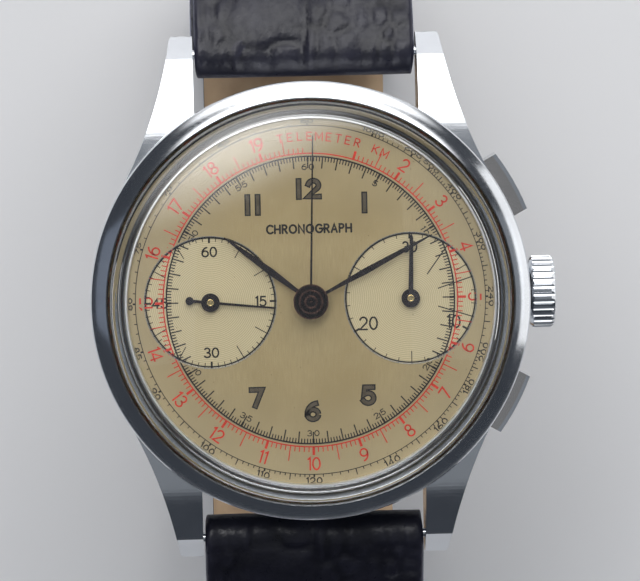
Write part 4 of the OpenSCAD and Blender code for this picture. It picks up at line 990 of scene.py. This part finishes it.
def on_bend(turn, radius):
    """The place that many degrees along the loop's lower bend, at that radius from the bend's centre."""
    angle = math.radians(turn)
    bend_r = BENDS[-1][0]
    y = FLAT_Y + radius * math.sin(angle)
    z = FLAT_Z + bend_r - radius * math.cos(angle)
    return Matrix.Translation((0, y, z)) @ Matrix.Rotation(angle, 4, "X")


def tongue_slot(low, high, height, z):
    """Cutter for the slot that the buckle's tongue swings in, between two places along the strap."""
    half = 1.2
    outline = [(-half, low), (half, low), (half, high), (-half, high)]
    return prism(outline, height, Matrix.Translation((0, 0, z)))


def build_strap():
    """Both halves with their slots and holes, the stitching and the two keepers."""
    short = short_half_stations()
    long = long_half_stations()
    upper = strap_half("strap_12_leather", "strap_12", short, 1)
    lower = strap_half("strap_6_leather", "strap_6", long, -1, round_tip=True)
    cut(upper, [tongue_slot(-5.0, 1.6, 6, FLAT_Z)])
    holes = [tongue_slot(-7.6, -0.6, 5, FLAT_Z - TAIL_DROP)]
    for i in range(3):
        holes.append(prism(circle_outline(0.85), 6, on_bend(38 + 9 * i, BENDS[-1][0] + TAIL_DROP)))
    cut(lower, holes)
    stitches("strap_12_stitching", short, 1, 9.0, 66.0)
    stitches("strap_6_stitching", long, -1, 9.0, 110.0)
    low, high = box_mm("fixed_keeper")
    fixed_place = Matrix.Translation((0, (low.y + high.y) / 2, FLAT_Z))
    keeper("fixed_keeper_leather", "fixed_keeper", "case", fixed_place)
    low, high = box_mm("free_keeper")
    middle = (low + high) / 2
    turn = math.degrees(math.atan2(middle.y - FLAT_Y, FLAT_Z + BENDS[-1][0] - middle.z))
    keeper("free_keeper_leather", "free_keeper", "free_keeper", on_bend(turn, BENDS[-1][0]))


# ---- Floor, light and camera ----

def floor():
    """A plain pale floor under the watch."""
    size = 4000.0
    z = FLOOR_Z / MM - 0.02
    mesh = bpy.data.meshes.new("floor")
    corners = ((-size, -size, z), (size, -size, z), (size, size, z), (-size, size, z))
    mesh.from_pydata([Vector(p) * MM for p in corners], [], [(0, 1, 2, 3)])
    shader = Shader("floor", Roughness=0.7)
    tone = shader.noise(0.02, 2.0)
    shader.drive("Base Color", shader.mix(tone, rgb(0.84, 0.84, 0.85), rgb(0.88, 0.88, 0.89)))
    mesh.materials.append(shader.material)
    obj = bpy.data.objects.new("floor", mesh)
    bpy.context.scene.collection.objects.link(obj)


def fade_to_edges(light, start):
    """Makes an area lamp fade from start, out of 0.5, to its edges, so its mirror image has soft edges."""
    light.use_nodes = True
    tree = light.node_tree
    across = tree.nodes.new("ShaderNodeVectorMath")
    across.operation = "SUBTRACT"
    across.inputs[1].default_value = (0.5, 0.5, 0.0)
    tree.links.new(tree.nodes.new("ShaderNodeNewGeometry").outputs["Parametric"], across.inputs[0])
    length = tree.nodes.new("ShaderNodeVectorMath")
    length.operation = "LENGTH"
    tree.links.new(across.outputs[0], length.inputs[0])
    fade = tree.nodes.new("ShaderNodeMapRange")
    fade.interpolation_type = "SMOOTHSTEP"
    fade.inputs["From Min"].default_value = 0.5
    fade.inputs["From Max"].default_value = start
    tree.links.new(length.outputs["Value"], fade.inputs["Value"])
    emission = next(n for n in tree.nodes if n.type == "EMISSION")
    tree.links.new(fade.outputs[0], emission.inputs["Strength"])


def softbox(name, place_mm, aim_mm, size_mm, watts, colour=(1.0, 1.0, 1.0), fade_start=None):
    light = bpy.data.lights.new(name, "AREA")
    light.shape = "RECTANGLE"
    light.size, light.size_y = size_mm[0] * MM, size_mm[1] * MM
    light.energy = watts
    light.color = colour
    if fade_start is not None:
        fade_to_edges(light, fade_start)
    obj = bpy.data.objects.new(name, light)
    obj.location = Vector(place_mm) * MM
    obj.rotation_euler = (Vector(aim_mm) - Vector(place_mm)).to_track_quat("-Z", "Y").to_euler()
    obj.visible_camera = False
    bpy.context.scene.collection.objects.link(obj)


def lights():
    """Soft lamps mostly from 12 o'clock, where the bezel and lugs mirror them, and a dim blue room."""
    aim = (0, 0, 8)
    softbox("overhead", (0, 0, 900), aim, (1500, 1500), 1.3, (0.9, 0.95, 1.0))
    softbox("sky_12", (30, 386, 356), aim, (900, 420), 4.3, fade_start=0.25)
    softbox("horizon_12", (20, 550, 135), aim, (1000, 300), 1.6, fade_start=0.3)
    softbox("haze_12", (-80, 180, 470), aim, (560, 210), 2.4, fade_start=0.0)
    softbox("side_3", (800, 40, 750), aim, (600, 1400), 0.5, (0.88, 0.93, 1.0))
    softbox("side_9", (-800, 40, 750), aim, (600, 1400), 0.45, (0.7, 0.8, 1.0))
    softbox("low_3", (450, 60, 40), aim, (420, 220), 0.3)
    world = bpy.data.worlds.new("studio")
    world.use_nodes = True
    background = world.node_tree.nodes["Background"]
    background.inputs["Color"].default_value = rgb(0.55, 0.62, 0.75)
    background.inputs["Strength"].default_value = 0.08
    bpy.context.scene.world = world
    bpy.context.scene.view_settings.view_transform = "Standard"


def camera():
    """Nearly straight down on the dial, leaning a little towards 12 and 9, with a slight roll."""
    distance_mm, px_per_mm, image_w = 450.0, 12.48, 640
    lean_12, lean_9, roll = 4.7, 1.4, 1.2
    off_right_mm, off_up_mm = 0.71, 0.94
    direction = Vector((-math.tan(math.radians(lean_9)), math.tan(math.radians(lean_12)), 1)).normalized()
    up = Vector((math.sin(math.radians(roll)), math.cos(math.radians(roll)), 0))
    right = up.cross(direction).normalized()
    up = direction.cross(right)
    target = Vector((0, 0, BEZEL_TOP)) + right * off_right_mm + up * off_up_mm
    data = bpy.data.cameras.new("camera")
    data.sensor_width = 36.0
    data.lens = 36.0 * distance_mm / (image_w / px_per_mm)
    data.clip_start = 0.01
    data.clip_end = 50
    obj = bpy.data.objects.new("camera", data)
    spot = (target + direction * distance_mm) * MM
    obj.matrix_world = Matrix.Translation(spot) @ Matrix((right, up, direction)).transposed().to_4x4()
    bpy.context.scene.collection.objects.link(obj)
    bpy.context.scene.camera = obj


finish_cad_nodes()
print_dial()
small_dial_rims()
small_hand_tubes()
crystal()
build_strap()
floor()
lights()
camera()
